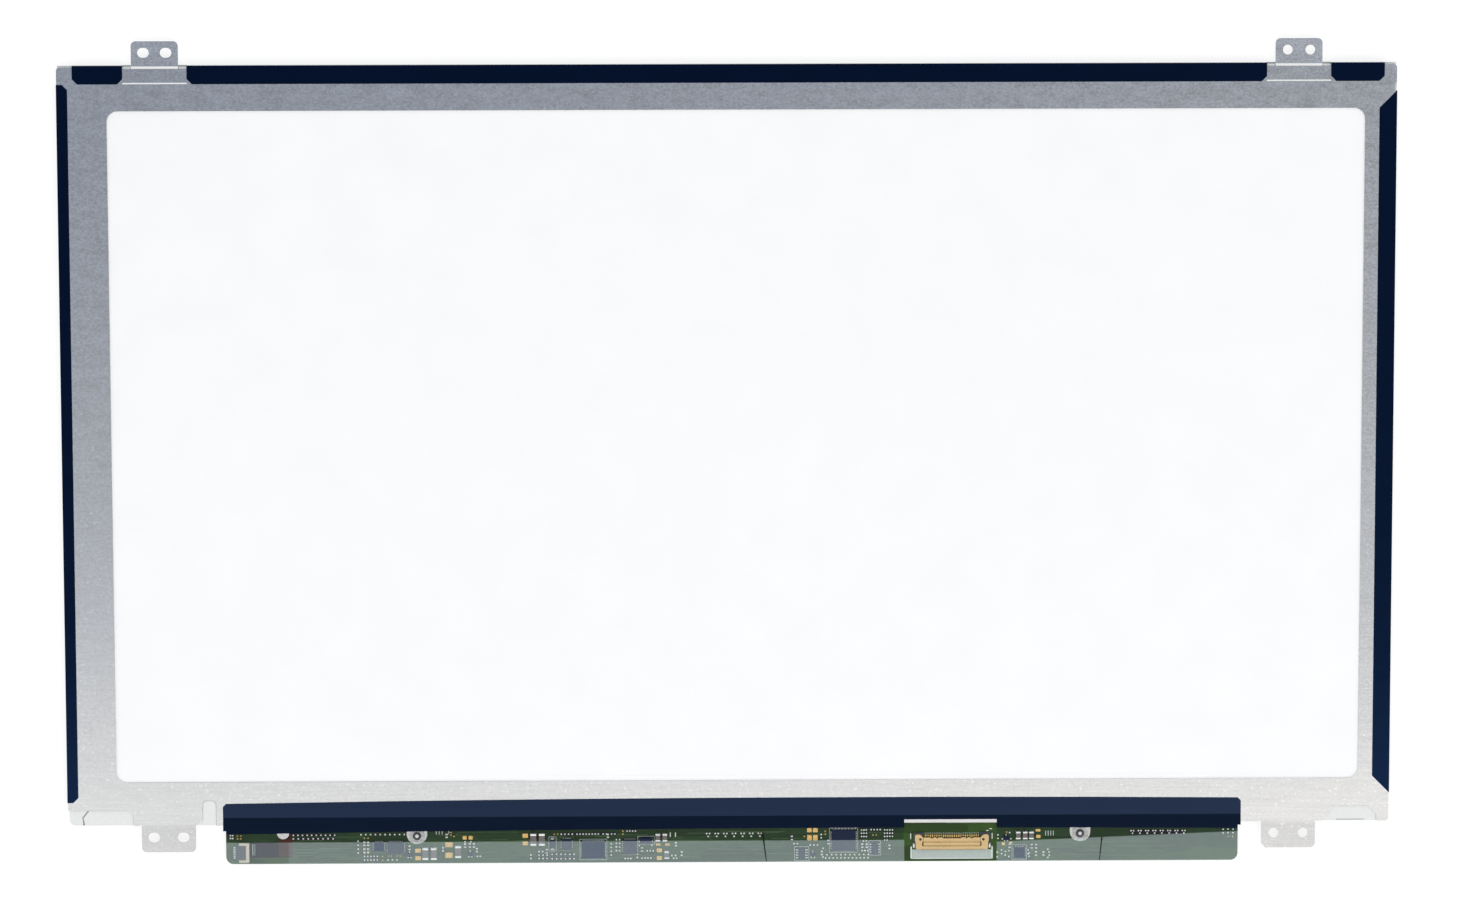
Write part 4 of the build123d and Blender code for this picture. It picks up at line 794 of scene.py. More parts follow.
# First place, count and step of each row of dots.
SOLDER_DOT_ROWS = (
    (1.2, 7.9, 2, 0.6, 0.0), (1.2, 7.1, 2, 0.6, 0.0), (18.3, 7.9, 10, 1.25, 0.0),
    (18.3, 6.9, 9, 1.35, 0.0), (36.7, 8.0, 10, 1.31, 0.0), (35.9, 6.2, 4, 0.0, -1.1),
    (37.6, 2.0, 5, 0.87, 0.0), (37.6, 1.0, 5, 0.87, 0.0), (44.0, 1.0, 3, 1.2, 0.0),
    (65.0, 5.9, 2, 1.6, 0.0), (68.3, 1.9, 2, 0.8, 0.0), (91.2, 7.9, 4, 1.0, 0.0),
    (95.5, 7.9, 8, 0.83, 0.0), (102.6, 7.9, 2, 0.9, 0.0), (104.9, 7.9, 2, 0.9, 0.0),
    (109.1, 8.7, 4, 0.77, 0.0), (85.1, 3.1, 2, 1.0, 0.0), (85.1, 2.15, 3, 1.1, 0.0),
    (85.1, 1.2, 3, 1.1, 0.0), (88.7, 2.35, 6, 1.2, 0.0), (88.7, 1.1, 6, 1.2, 0.0),
    (82.9, 2.2, 2, 0.0, -1.0), (121.8, 1.1, 2, 0.8, 0.0), (113.2, 1.2, 4, 0.8, 0.0),
    (114.6, 3.2, 3, 0.8, 0.0), (130.8, 7.9, 7, 2.35, 0.0), (131.6, 7.9, 7, 2.35, 0.0),
    (131.2, 7.1, 7, 2.35, 0.0), (246.5, 8.2, 8, 2.0, 0.0), (247.2, 8.2, 8, 2.0, 0.0),
    (246.9, 7.5, 8, 2.0, 0.0), (165.0, 9.2, 8, 0.9, 0.0), (173.0, 8.7, 3, 0.65, 0.0),
    (173.0, 7.8, 3, 0.65, 0.0), (173.0, 6.9, 3, 0.65, 0.0), (175.6, 8.8, 4, 0.83, 0.0),
    (179.3, 8.7, 4, 0.7, 0.0), (179.3, 7.8, 4, 0.7, 0.0), (179.3, 6.9, 4, 0.7, 0.0),
    (179.3, 5.9, 2, 0.7, 0.0), (163.2, 1.0, 12, 1.05, 0.0), (162.0, 7.5, 2, 0.0, -0.9),
    (154.6, 5.0, 2, 0.9, 0.0), (211.2, 3.0, 2, 0.0, -1.0), (212.2, 2.6, 2, 0.0, -1.0),
    (218.4, 3.0, 2, 0.0, -1.1), (224.2, 2.4, 2, 0.0, -0.9), (271.6, 8.5, 3, 1.35, 0.0),
    (271.6, 7.5, 3, 1.35, 0.0), (104.8, 5.2, 4, 0.0, -1.05), (106.2, 6.3, 4, 0.0, -1.0),
    (107.1, 6.3, 4, 0.0, -1.0), (112.4, 5.8, 2, 0.0, -1.15), (115.9, 5.8, 2, 0.0, -1.1),
    (108.6, 1.1, 3, 0.75, 0.0), (111.9, 2.3, 2, 0.0, -0.9), (121.3, 1.9, 2, 1.0, 0.0),
    (162.5, 3.7, 2, 0.0, -2.4), (159.0, 4.6, 3, 1.0, 0.0), (173.5, 5.7, 2, 0.8, 0.0),
    (173.2, 3.0, 3, 0.75, 0.0), (163.6, 1.9, 10, 1.25, 0.0), (211.4, 6.1, 2, 2.3, 0.0),
    (210.2, 7.2, 2, 0.0, -1.0), (210.0, 2.4, 2, 0.0, -1.3), (213.2, 2.8, 2, 0.0, -1.6),
    (218.7, 1.2, 2, 0.0, 1.0), (223.8, 3.2, 2, 0.0, -2.3), (213.4, 7.8, 1, 0.0, 0.0),
)
GOLD_DOT_ROWS = (
    (3.1, 7.8, 2, 0.9, 0.0), (3.1, 7.0, 2, 0.9, 0.0), (37.6, 7.0, 2, 1.0, 0.0),
    (37.6, 2.85, 2, 1.0, 0.0), (42.5, 2.0, 2, 0.0, -1.1), (44.1, 2.1, 2, 0.8, 0.0),
    (46.5, 2.1, 2, 0.9, 0.0), (61.2, 8.5, 2, 0.0, -0.7), (62.0, 7.4, 1, 0.0, 0.0),
    (89.3, 7.9, 2, 0.9, 0.0), (108.0, 8.7, 2, 0.0, -0.8), (157.4, 7.0, 1, 0.0, 0.0),
    (163.1, 8.4, 2, 0.0, -0.8), (176.1, 7.3, 2, 0.9, 0.0), (212.6, 8.0, 1, 0.0, 0.0),
    (273.0, 6.5, 2, 1.2, 0.0),
)
# Place, width and depth of each dark body.
DARK_BODIES = (
    (23.9, 7.9, 12.4, 0.7), (23.9, 6.9, 12.0, 0.7), (39.3, 2.0, 4.5, 0.6), (39.3, 1.0, 4.5, 0.6),
    (98.5, 7.9, 15.8, 0.8), (110.2, 8.7, 3.3, 0.7), (91.7, 2.35, 6.9, 0.6), (91.7, 1.1, 6.9, 0.6),
    (86.2, 2.15, 3.1, 0.6), (86.2, 1.2, 3.1, 0.6), (173.65, 8.7, 2.2, 0.65), (173.65, 7.8, 2.2, 0.65),
    (173.65, 6.9, 2.2, 0.65), (176.85, 8.8, 3.3, 0.65), (180.35, 8.7, 3.0, 0.65),
    (180.35, 7.8, 3.0, 0.65), (180.35, 6.9, 3.0, 0.65), (179.65, 5.9, 1.5, 0.65),
    (253.9, 8.2, 15.6, 0.6), (253.9, 7.5, 15.0, 0.6),
)


DOT_ROUNDNESS = 2.6
DOT_COLUMNS = 8
BODY_SHARE = 0.5


def put_dots(name, rows, sizes, material):
    """Rows of low round dots."""
    width = (sizes.dot_width, sizes.dot_width)
    places = dot_rows(rows)
    rings = plates(places, width, BOARD_BACK, sizes.dot_rise, SOLDER_DOT, DOT_ROUNDNESS, DOT_COLUMNS)
    put_rings(name, rings, material)


class SCREEN_PANEL_OT_solder_dots(bpy.types.Operator):
    """Rows of solder dots and gold test dots, and the dark bodies of the smallest parts between them"""

    bl_idname = "screen_panel.solder_dots"
    bl_label = "Solder dots"

    def execute(self, context):
        sizes = context.scene.board_sizes
        paints = context.scene.board_finishes
        put_dots("solder_dots", SOLDER_DOT_ROWS, sizes, solder_finish(paints))
        put_dots("gold_dots", GOLD_DOT_ROWS, sizes, gold_finish(paints))
        dark = mottled("body_glaze", paints.glaze, 0.2, 0.12, 0.5, specular=0.1, bump=0.003)
        put_plates("dark_bodies", DARK_BODIES, BOARD_BACK, BODY_SHARE * sizes.dot_rise, dark)
        return {"FINISHED"}


# Places of the capacitors and resistors on the board.
LARGE_CAPACITORS = ((54.2, 2.7), (56.5, 2.7), (63.1, 3.2), (83.6, 6.5), (85.9, 6.5))
MEDIUM_CAPACITORS = ((117.5, 6.9), (119.4, 6.9), (119.9, 2.1), (215.7, 7.1), (217.6, 7.1), (219.3, 7.1))
SMALL_CAPACITORS = (
    (37.6, 5.5), (38.6, 5.5), (37.6, 3.6), (38.6, 3.6), (59.0, 3.9), (60.0, 7.6), (65.0, 4.9),
    (68.2, 3.6), (103.9, 7.4), (122.4, 5.0), (162.2, 2.4), (173.2, 4.4), (174.4, 4.4), (222.6, 2.0),
)
RESISTORS = (
    (49.9, 4.3), (66.3, 4.9), (67.4, 4.9), (87.2, 3.2), (113.2, 3.6), (124.0, 2.4), (154.0, 6.6),
    (164.0, 5.4), (180.6, 4.0), (213.4, 4.2), (219.4, 4.0), (220.6, 4.0), (220.6, 2.0),
)
# Places, width, depth and rise of each kind of part, and the length of its caps.
CAPPED_PARTS = (
    (LARGE_CAPACITORS, 1.6, 3.2, 0.9, 0.55), (MEDIUM_CAPACITORS, 1.25, 2.0, 0.8, 0.42),
    (SMALL_CAPACITORS, 0.5, 1.0, 0.35, 0.26), (RESISTORS, 0.5, 1.0, 0.25, 0.24),
)
CAP_SKIN = 0.03
FILLET_REACH = 0.14


class SCREEN_PANEL_OT_end_caps(bpy.types.Operator):
    """Tinned end caps of capacitors and resistors, with the solder at their feet"""

    bl_idname = "screen_panel.end_caps"
    bl_label = "End caps"

    def execute(self, context):
        solder = solder_finish(context.scene.board_finishes)
        caps = []
        fillets = []
        for spots, width, depth, rise, cap in CAPPED_PARTS:
            spots = np.array(spots)
            offset = np.array([0.0, 0.5 * (depth - cap) + CAP_SKIN])
            ends = on_board(np.concatenate([spots + offset, spots - offset]))
            cap_size = np.array([width + 2.0 * CAP_SKIN, cap]) * MM
            foot_size = np.array([width + FILLET_REACH, cap + 2.0 * FILLET_REACH]) * MM
            caps.append(plates(ends, cap_size, BOARD_BACK, (rise + CAP_SKIN) * MM, END_CAP))
            fillets.append(plates(ends, foot_size, BOARD_BACK, 0.5 * rise * MM, FILLET))
        put_rings("end_caps", np.concatenate(caps), solder, smooth=False)
        put_rings("solder_feet", np.concatenate(fillets), solder)
        return {"FINISHED"}


# Place, width, depth, leads on each end and side, pitch, and a lead's reach, width and rise.
LEADED_CHIPS = (
    (168.1, 5.9, 6.7, 5.8, 11, 13, 0.45, 0.20, 0.22, 0.10),
    (99.9, 3.6, 6.5, 4.8, 8, 12, 0.50, 0.20, 0.24, 0.10),
    (46.2, 4.4, 4.5, 3.3, 5, 8, 0.50, 0.18, 0.24, 0.10),
    (41.6, 4.7, 2.9, 2.6, 4, 4, 0.55, 0.18, 0.26, 0.10),
    (109.9, 4.4, 3.8, 4.0, 6, 6, 0.55, 0.18, 0.26, 0.10),
    (216.0, 2.4, 3.1, 3.1, 4, 4, 0.65, 0.18, 0.28, 0.10),
    (92.7, 5.1, 2.9, 3.0, 4, 4, 0.60, 0.18, 0.26, 0.10),
    (156.7, 2.2, 2.0, 3.0, 4, 0, 0.72, 0.55, 0.32, 0.36),
    (176.6, 3.7, 1.9, 3.2, 4, 0, 0.72, 0.42, 0.30, 0.30),
)
TRANSISTORS = ((49.9, 2.4), (66.4, 2.6), (159.7, 2.0), (212.4, 6.4))
# Starts of the legs, and the reach, width and rise of a leg.
TRANSISTOR_LEGS = ((-0.42, -0.55), (0.42, -0.55), (0.0, 0.55))
TRANSISTOR_LEG = (0.45, 0.32, 0.40)
DIODE = (88.8, 5.2)
DIODE_HALF = 1.2
DIODE_LEG = (0.40, 0.85, 0.30)


def like_leads(starts, ways, size):
    """Leads that share one size: their starts and directions, then the reach, width and rise of each."""
    return (starts, ways, *(np.full(len(starts), value) for value in size))


def side_rows(chip):
    """Leads of a chip: evenly spaced rows along its four sides."""
    u, v, wide, deep, on_ends, on_sides, pitch, reach, width, rise = chip
    starts = []
    ways = []
    for count, turn, half in ((on_ends, 0, wide / 2.0), (on_sides, 1, deep / 2.0)):
        along = (np.arange(count) - (count - 1) / 2.0) * pitch
        for sign in (1.0, -1.0):
            out = np.full(count, sign * half)
            spot = np.stack([along, out] if turn else [out, along], axis=-1)
            starts.append(np.array([u, v]) + spot)
            way = np.array([0.0, sign]) if turn else np.array([sign, 0.0])
            ways.append(np.tile(way, (count, 1)))
    return like_leads(np.concatenate(starts), np.concatenate(ways), (reach, width, rise))


class SCREEN_PANEL_OT_chip_leads(bpy.types.Operator):
    """Tinned leads of the chips, transistors and diode"""

    bl_idname = "screen_panel.chip_leads"
    bl_label = "Chip leads"

    def execute(self, context):
        rows = [side_rows(chip) for chip in LEADED_CHIPS]
        legs = np.array(TRANSISTOR_LEGS)
        leg_ways = np.sign(legs) * np.array([0.0, 1.0])
        spots = np.concatenate([np.array(spot) + legs for spot in TRANSISTORS])
        rows.append(like_leads(spots, np.tile(leg_ways, (len(TRANSISTORS), 1)), TRANSISTOR_LEG))
        ends = np.array([[0.0, 1.0], [0.0, -1.0]])
        rows.append(like_leads(np.array(DIODE) + DIODE_HALF * ends, ends, DIODE_LEG))
        starts, ways, reaches, widths, rises = (np.concatenate(part) for part in zip(*rows))
        thickness = context.scene.board_sizes.lead_thickness
        rings = bent_leads(on_board(starts), ways, reaches * MM, widths * MM, thickness, rises * MM)
        solder = solder_finish(context.scene.board_finishes)
        put_rings("chip_leads", rings, solder, smooth=False)
        return {"FINISHED"}


# Place, width and depth of each printed outline and bar.
PRINTED_BOXES = (
    (168.1, 5.9, 7.7, 6.8), (99.9, 3.6, 7.4, 5.7), (176.6, 3.7, 3.2, 4.0), (156.7, 2.2, 3.9, 3.9),
    (216.0, 2.4, 4.0, 4.0), (114.3, 6.1, 4.6, 2.2), (88.8, 5.2, 2.0, 3.9),
)
PRINTED_CORNER = 0.15
PRINTED_BARS = (
    (223.2, 7.6, 0.18, 1.4), (223.9, 7.6, 0.18, 1.4), (224.6, 7.6, 0.18, 1.4), (225.3, 7.6, 0.18, 1.4),
    (120.9, 7.6, 0.3, 1.3), (122.3, 7.6, 0.3, 1.3), (57.2, 8.4, 0.2, 0.9), (58.0, 8.4, 0.2, 0.9),
    (58.8, 8.4, 0.2, 0.9), (60.6, 8.4, 0.2, 0.9), (186.4, 6.9, 0.26, 1.6), (208.6, 6.9, 0.26, 1.6),
    (207.3, 8.4, 0.7, 0.26), (208.2, 8.9, 0.7, 0.26), (186.55, 2.4, 0.4, 3.4), (208.6, 2.4, 0.4, 3.4),
    (197.58, 0.76, 22.3, 0.3),
)


class SCREEN_PANEL_OT_printed_lines(bpy.types.Operator):
    """White printed outlines round the chips and a few plain bars"""

    bl_idname = "screen_panel.printed_lines"
    bl_label = "Printed lines"

    def execute(self, context):
        sizes = context.scene.board_sizes
        ink = mottled("line_ink", context.scene.board_finishes.line_ink, 0.3, 0.08, 0.6, bump=0.004)
        boxes = np.array(PRINTED_BOXES)
        paths = box_paths(on_board(boxes[:, :2]), boxes[:, 2:] * MM, PRINTED_CORNER * MM)
        rings = ribbons(paths, sizes.line_width, BOARD_BACK, sizes.line_rise, closed=True)
        put_rings("printed_outlines", rings, ink, closed=True, smooth=False)
        put_plates("printed_bars", PRINTED_BARS, BOARD_BACK, sizes.line_rise, ink)
        return {"FINISHED"}


# Limits of the tracks' starts, runs and steps, in millimetres on the board.
TRACK_COUNT = 90
TRACK_SEED = 5
TRACK_STARTS = ((4.0, 240.0), (0.8, 8.6))
TRACK_RUNS = ((3.0, 12.0), (3.0, 16.0))
TRACK_JOGS = (-1.2, -0.8, -0.4, 0.4, 0.8, 1.2)
TRACK_LOW = 0.6
TRACK_HIGH = 9.2
PEG_PLACES = ((51.95, 7.6), (232.55, 7.6))
PEG_ROOM_BESIDE = 3.0
PEG_ROOM_BELOW = 2.0
SOCKET_ZONE = (183.0, 212.0)


def track_paths():
    """Paths of the copper tracks on the board, four points each.

    A track runs along the board, steps aside at 45 degrees and runs on. Its start, its two runs and its step
    are drawn at random, and a step that would leave the board goes the other way. Tracks near a peg or the
    socket are left out.
    """
    draw = np.random.default_rng(TRACK_SEED)
    start = np.stack([draw.uniform(*limits, TRACK_COUNT) for limits in TRACK_STARTS], axis=-1)
    first, second = (draw.uniform(*limits, TRACK_COUNT) for limits in TRACK_RUNS)
    jog = draw.choice(TRACK_JOGS, TRACK_COUNT)
    end = start[:, 1] + jog
    jog = np.where((end > TRACK_HIGH) | (end < TRACK_LOW), -jog, jog)
    none = np.zeros(TRACK_COUNT)
    step = first + np.abs(jog)
    runs = np.stack([none, first, step, step + second], axis=-1)
    rises = np.stack([none, none, jog, jog], axis=-1)
    paths = start[:, None, :] + np.stack([runs, rises], axis=-1)
    left = paths[:, 0, 0]
    right = paths[:, -1, 0]
    clear = (right < SOCKET_ZONE[0]) | (left > SOCKET_ZONE[1])
    for u, v in PEG_PLACES:
        beside = (right < u - PEG_ROOM_BESIDE) | (left > u + PEG_ROOM_BESIDE)
        clear &= beside | (paths[:, :, 1].max(axis=1) < v - PEG_ROOM_BELOW)
    return on_board(paths[clear]).reshape(-1, 4, 2)


class SCREEN_PANEL_OT_copper_tracks(bpy.types.Operator):
    """Copper tracks that show through the mask"""

    bl_idname = "screen_panel.copper_tracks"
    bl_label = "Copper tracks"

    def execute(self, context):
        sizes = context.scene.board_sizes
        rings = ribbons(track_paths(), sizes.track_width, BOARD_BACK, sizes.track_rise)
        copper = mottled("masked_copper", shade(context.scene.board_finishes.mask, 1.45), 0.5, 0.10, 0.36)
        put_rings("copper_tracks", rings, copper, smooth=False)
        return {"FINISHED"}


# Tongues and pegs, in millimetres of the frame.
TONGUE_HOLES = ((-84.95, -107.4), (95.65, -107.4))
TONGUE_BACK = 2.35
PEG_TOP = 2.65
TONGUE_RINGS = ((1.42, 0.30), (1.95, 0.34))
RING_RISE = 0.05
# Dark rings round the peg heads: painted shade in the tongue holes.
SHADE_RING_RADIUS = 0.74
SHADE_RING_WIDTH = 0.50
SHADE_RING_RISE = 0.03
HEAD_WIDTH = 0.8625
HEAD_RISE = 0.16


class SCREEN_PANEL_OT_tongue_trim(bpy.types.Operator):
    """Pressed rings on the two ground tongues, the staked heads of the pegs in their holes, and dark rings of
    painted shade round the heads
    """

    bl_idname = "screen_panel.tongue_trim"
    bl_label = "Tongue rings"

    def execute(self, context):
        holes = np.array(TONGUE_HOLES) * MM
        steel = NODES["rear_chassis"].material_slots[0].material
        rings = []
        for radius, width in TONGUE_RINGS:
            circles = ring_paths(holes, radius * MM)
            ring = ribbons(circles, width * MM, TONGUE_BACK * MM, RING_RISE * MM, closed=True, shoulder=0.4)
            rings.append(ring)
        put_rings("tongue_rings", np.concatenate(rings), steel, closed=True)
        # Painted shade: a dark ring round each peg head stands in for the shade in its hole.
        painted_shade = mottled("peg_painted_shade", context.scene.board_finishes.dark_plastic, 0.3, 0.15, 0.4)
        circles = ring_paths(holes, SHADE_RING_RADIUS * MM)
        shade_ring = ribbons(circles, SHADE_RING_WIDTH * MM, PEG_TOP * MM, SHADE_RING_RISE * MM, closed=True)
        put_rings("peg_shade_rings", shade_ring, painted_shade, closed=True)
        width = HEAD_WIDTH * MM
        head = plates(holes, (width, width), PEG_TOP * MM, HEAD_RISE * MM, STAKED_HEAD, 2.0, 24)
        white = NODES["mold_frame"].material_slots[0].material
        put_rings("staked_heads", head, white)
        return {"FINISHED"}


# Trim of the signal socket, in millimetres on the board.
SOCKET_U = 197.6
BLOCK_V = 2.08
BLOCK_SIZE = (21.6, 2.3)
BLOCK_SQUARENESS = 40.0
CONTACT_COUNT = 30
CONTACT_PITCH = 0.5
CONTACT_V = 7.72
CONTACT_TAIL = (0.15, 0.34)
CONTACT_TAIL_RISE = 0.10
FOOT_OFFSET = 10.3
FOOT_V = 4.35
FOOT_SIZE = (0.7, 1.5)
FOOT_RISE = 0.25


class SCREEN_PANEL_OT_socket_trim(bpy.types.Operator):
    """Pale block in front of the signal socket and the solder at its feet and contacts"""

    bl_idname = "screen_panel.socket_trim"
    bl_label = "Socket solder"

    def execute(self, context):
        paints = context.scene.board_finishes
        sizes = context.scene.board_sizes
        ink = mottled("pale_block", paints.print_ink, 0.6, 0.06, 0.5, bump=0.004)
        place = on_board((SOCKET_U, BLOCK_V))
        size = np.array(BLOCK_SIZE) * MM
        block = plates(place, size, BOARD_BACK, sizes.line_rise, FLAT_PAD, BLOCK_SQUARENESS)
        put_rings("pale_block", block, ink, smooth=False)
        solder = solder_finish(paints)
        along = SOCKET_U + (np.arange(CONTACT_COUNT) - 0.5 * (CONTACT_COUNT - 1)) * CONTACT_PITCH
        tails = on_board(np.stack([along, np.full(CONTACT_COUNT, CONTACT_V)], axis=-1))
        tail = np.array(CONTACT_TAIL) * MM
        pads = plates(tails, tail, BOARD_BACK, CONTACT_TAIL_RISE * MM, SOLDER_DOT, 4.0, DOT_COLUMNS)
        put_rings("socket_tails", pads, solder)
        feet = on_board(((SOCKET_U - FOOT_OFFSET, FOOT_V), (SOCKET_U + FOOT_OFFSET, FOOT_V)))
        feet = plates(feet, np.array(FOOT_SIZE) * MM, BOARD_BACK, FOOT_RISE * MM, FILLET, 3.0)
        put_rings("socket_feet", feet, solder)
        return {"FINISHED"}


# Head and foot of each slit on the board, its widths there and its height in the frame.
SLIT_LINES = (((146.01, 8.3), (147.06, 0.4)), ((238.47, 6.5), (237.83, 0.4)))
SLIT_WIDTHS = ((0.42, 0.20), (0.37, 0.20))
SLIT_LOW = 2.90
SLIT_RISE = 0.10


class SCREEN_PANEL_OT_slit_shade_lines(bpy.types.Operator):
    """Dark lines along the two slits of the clear film: painted shade of the film's cut edges"""

    bl_idname = "screen_panel.slit_beads"
    bl_label = "Slit shade lines"

    def execute(self, context):
        # Painted shade: dark raised lines stand in for the shade along the film's cut edges.
        paths = on_board(SLIT_LINES).reshape(-1, 2, 2)
        painted_shade = mottled("slit_painted_shade", context.scene.panel_finishes.tape, 0.3, 0.2, 0.5, specular=0.1)
        rings = ribbons(paths, np.array(SLIT_WIDTHS) * MM, SLIT_LOW * MM, SLIT_RISE * MM, shoulder=0.95)
        put_rings("slit_beads", rings, painted_shade, smooth=False)
        return {"FINISHED"}


# Height of the tail in the frame, and place, width and depth of its bars on the board.
TAIL_BACK = 2.20
TAIL_BARS = ((7.25, 3.9, 0.22, 3.2), (7.8, 3.9, 0.12, 3.2))
TAIL_BAR_RISE = 0.02


class SCREEN_PANEL_OT_tail_trim(bpy.types.Operator):
    """Pale contact bars where the flexible tail enters its connector"""

    bl_idname = "screen_panel.tail_trim"
    bl_label = "Tail bars"

    def execute(self, context):
        ink = mottled("tail_ink", context.scene.board_finishes.print_ink, 0.3, 0.08, 0.55, bump=0.004)
        put_plates("tail_bars", TAIL_BARS, TAIL_BACK * MM, TAIL_BAR_RISE * MM, ink)
        return {"FINISHED"}


# The camera's place in millimetres, and an axis whose length is its turn in degrees.
CAMERA_PLACE = (-17.0, 181.3, 1531.1)
CAMERA_TURN = (-6.897, -0.647, -0.167)
FLOOR_HALF = 5.0
FLOOR_DROP = 0.05
OVERHEAD_AXIS = (-0.155, 0.21, 0.965)
OVERHEAD_INNER = 18.0
OVERHEAD_OUTER = 34.0
SOFTBOX_PLACE = (0.5, -1.42, 2.0)
SOFTBOX_SIZE = (3.2, 2.0)
FLOOR_GLOW = 0.78


def build_floor(settings):
    """A wide flat floor under the panel that shows white to the camera and keeps the panel's shadow."""
    half = FLOOR_HALF
    points = np.array([(-half, -half), (half, -half), (half, half), (-half, half)])
    points = np.column_stack([points, np.full(4, -FLOOR_DROP * MM)])
    mesh = bpy.data.meshes.new("floor")
    mesh.from_pydata(points.tolist(), [], [(0, 1, 2, 3)])
    finish = Finish("pale_floor", 0.9, 0.0, 0.0)
    grain = finish.noise(40.0, detail=2.0)
    finish.paint(finish.shades(grain, settings.floor, 0.99, 1.01, 0.3, 0.7))
    rays = finish.add("LightPath", {}).outputs
    seen = rays["Is Camera Ray"]
    for kind in ("Is Glossy Ray", "Is Transmission Ray"):
        seen = finish.join("MAXIMUM", seen, rays[kind])
    finish.shader.inputs["Emission Color"].default_value = WHITE
    finish.drive("Emission Strength", finish.span(seen, 0.0, FLOOR_GLOW, 0.0, 1.0))
    mesh.materials.append(finish.material)
    floor = bpy.data.objects.new("floor", mesh)
    bpy.context.scene.collection.objects.link(floor)


def build_world(scene, settings):
    """White walls all round and a dim grey patch overhead, which the flat metal mirrors."""
    world = bpy.data.worlds.new("studio")
    world.use_nodes = True
    tree = world.node_tree
    way = add_node(tree, "TexCoord", {}).outputs["Generated"]
    middle = Vector(OVERHEAD_AXIS).normalized()
    closeness = add_node(tree, "VectorMath", {0: way, 1: middle}, operation="DOT_PRODUCT")
    limits = {
        "Value": closeness.outputs["Value"],
        "From Min": math.cos(math.radians(OVERHEAD_OUTER)),
        "From Max": math.cos(math.radians(OVERHEAD_INNER)),
    }
    edge = add_node(tree, "MapRange", limits, interpolation_type="SMOOTHSTEP").outputs["Result"]
    room = {0: edge, 6: opaque(settings.walls), 7: opaque(settings.overhead)}
    studio = add_node(tree, "Mix", room, data_type="RGBA").outputs[2]
    camera_ray = add_node(tree, "LightPath", {}).outputs["Is Camera Ray"]
    seen = add_node(tree, "Mix", {0: camera_ray, 6: studio, 7: WHITE}, data_type="RGBA").outputs[2]
    tree.links.new(seen, tree.nodes["Background"].inputs["Color"])
    scene.world = world


def build_lamp(settings):
    """One wide soft lamp above the board's side of the panel, facing straight down."""
    lamp = bpy.data.lights.new("softbox", "AREA")
    lamp.shape = "RECTANGLE"
    lamp.size, lamp.size_y = SOFTBOX_SIZE
    lamp.energy = settings.softbox_power
    lamp.color = settings.softbox_tint
    softbox = bpy.data.objects.new("softbox", lamp)
    softbox.location = SOFTBOX_PLACE
    bpy.context.scene.collection.objects.link(softbox)


def build_camera(scene, settings):
    """The camera high over the panel, turned about one axis by the length of its turn."""
    data = bpy.data.cameras.new("camera")
    data.sensor_fit = "HORIZONTAL"
    data.sensor_width = 36.0
    data.lens = settings.camera_lens
    data.clip_start = 0.01
    data.clip_end = 50.0
    camera = bpy.data.objects.new("camera", data)
    turn = Vector(CAMERA_TURN)
    place = Matrix.Translation(Vector(CAMERA_PLACE) * MM)
    camera.matrix_world = place @ Matrix.Rotation(math.radians(turn.length), 4, turn.normalized())
    scene.collection.objects.link(camera)
    scene.camera = camera


class SCREEN_PANEL_OT_stage(bpy.types.Operator):
    """Pale floor, soft light and the camera over the panel"""

    bl_idname = "screen_panel.stage"
    bl_label = "Stage"

    def execute(self, context):
        scene = context.scene
        settings = scene.stage_settings
        build_floor(settings)
        build_world(scene, settings)
        build_lamp(settings)
        build_camera(scene, settings)
        scene.view_settings.view_transform = "Standard"
        return {"FINISHED"}


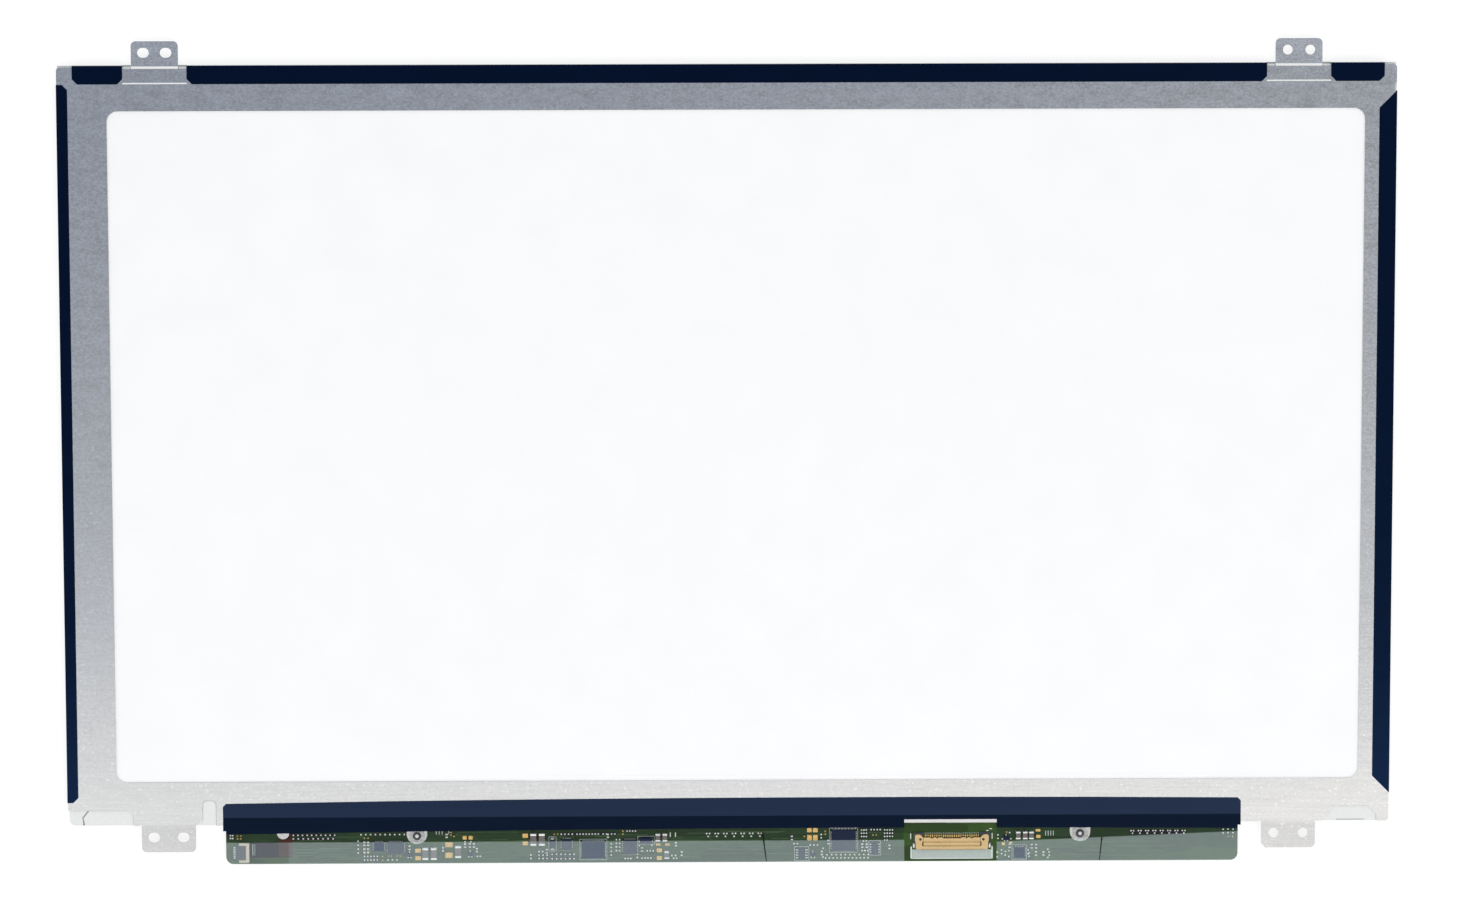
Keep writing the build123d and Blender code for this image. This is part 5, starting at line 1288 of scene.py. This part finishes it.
SETTINGS = {
    "panel_finishes": PanelFinishes,
    "board_finishes": BoardFinishes,
    "board_sizes": BoardSizes,
    "stage_settings": StageSettings,
}
OPERATORS = (
    SCREEN_PANEL_OT_chassis,
    SCREEN_PANEL_OT_tapes,
    SCREEN_PANEL_OT_mould_frame,
    SCREEN_PANEL_OT_light_box,
    SCREEN_PANEL_OT_light_bar,
    SCREEN_PANEL_OT_cell,
    SCREEN_PANEL_OT_driver_films,
    SCREEN_PANEL_OT_board,
    SCREEN_PANEL_OT_connectors,
    SCREEN_PANEL_OT_chips,
    SCREEN_PANEL_OT_copper_tracks,
    SCREEN_PANEL_OT_printed_lines,
    SCREEN_PANEL_OT_gold_pads,
    SCREEN_PANEL_OT_solder_dots,
    SCREEN_PANEL_OT_end_caps,
    SCREEN_PANEL_OT_chip_leads,
    SCREEN_PANEL_OT_tongue_trim,
    SCREEN_PANEL_OT_socket_trim,
    SCREEN_PANEL_OT_slit_shade_lines,
    SCREEN_PANEL_OT_tail_trim,
    SCREEN_PANEL_OT_stage,
)


class SCREEN_PANEL_PT_pieces(bpy.types.Panel):
    """The panel's pieces and settings"""

    bl_idname = "SCREEN_PANEL_PT_pieces"
    bl_label = "Screen Panel"
    bl_space_type = "VIEW_3D"
    bl_region_type = "UI"
    bl_category = "Screen Panel"

    def draw(self, context):
        for name, group in SETTINGS.items():
            box = self.layout.box()
            for value in group.__annotations__:
                box.prop(getattr(context.scene, name), value)
        for operator in OPERATORS:
            self.layout.operator(operator.bl_idname)


def register():
    """Registers the settings, the operators and the panel."""
    for group in (*SETTINGS.values(), *OPERATORS, SCREEN_PANEL_PT_pieces):
        bpy.utils.register_class(group)
    for name, group in SETTINGS.items():
        setattr(bpy.types.Scene, name, PointerProperty(type=group))


def unregister():
    """Takes back what register added."""
    for name in SETTINGS:
        delattr(bpy.types.Scene, name)
    for group in (SCREEN_PANEL_PT_pieces, *reversed(OPERATORS), *SETTINGS.values()):
        bpy.utils.unregister_class(group)


def main():
    """Registers everything and makes each piece in order."""
    register()
    for operator in OPERATORS:
        family, name = operator.bl_idname.split(".")
        getattr(getattr(bpy.ops, family), name)()


if __name__ == "__main__":
    main()
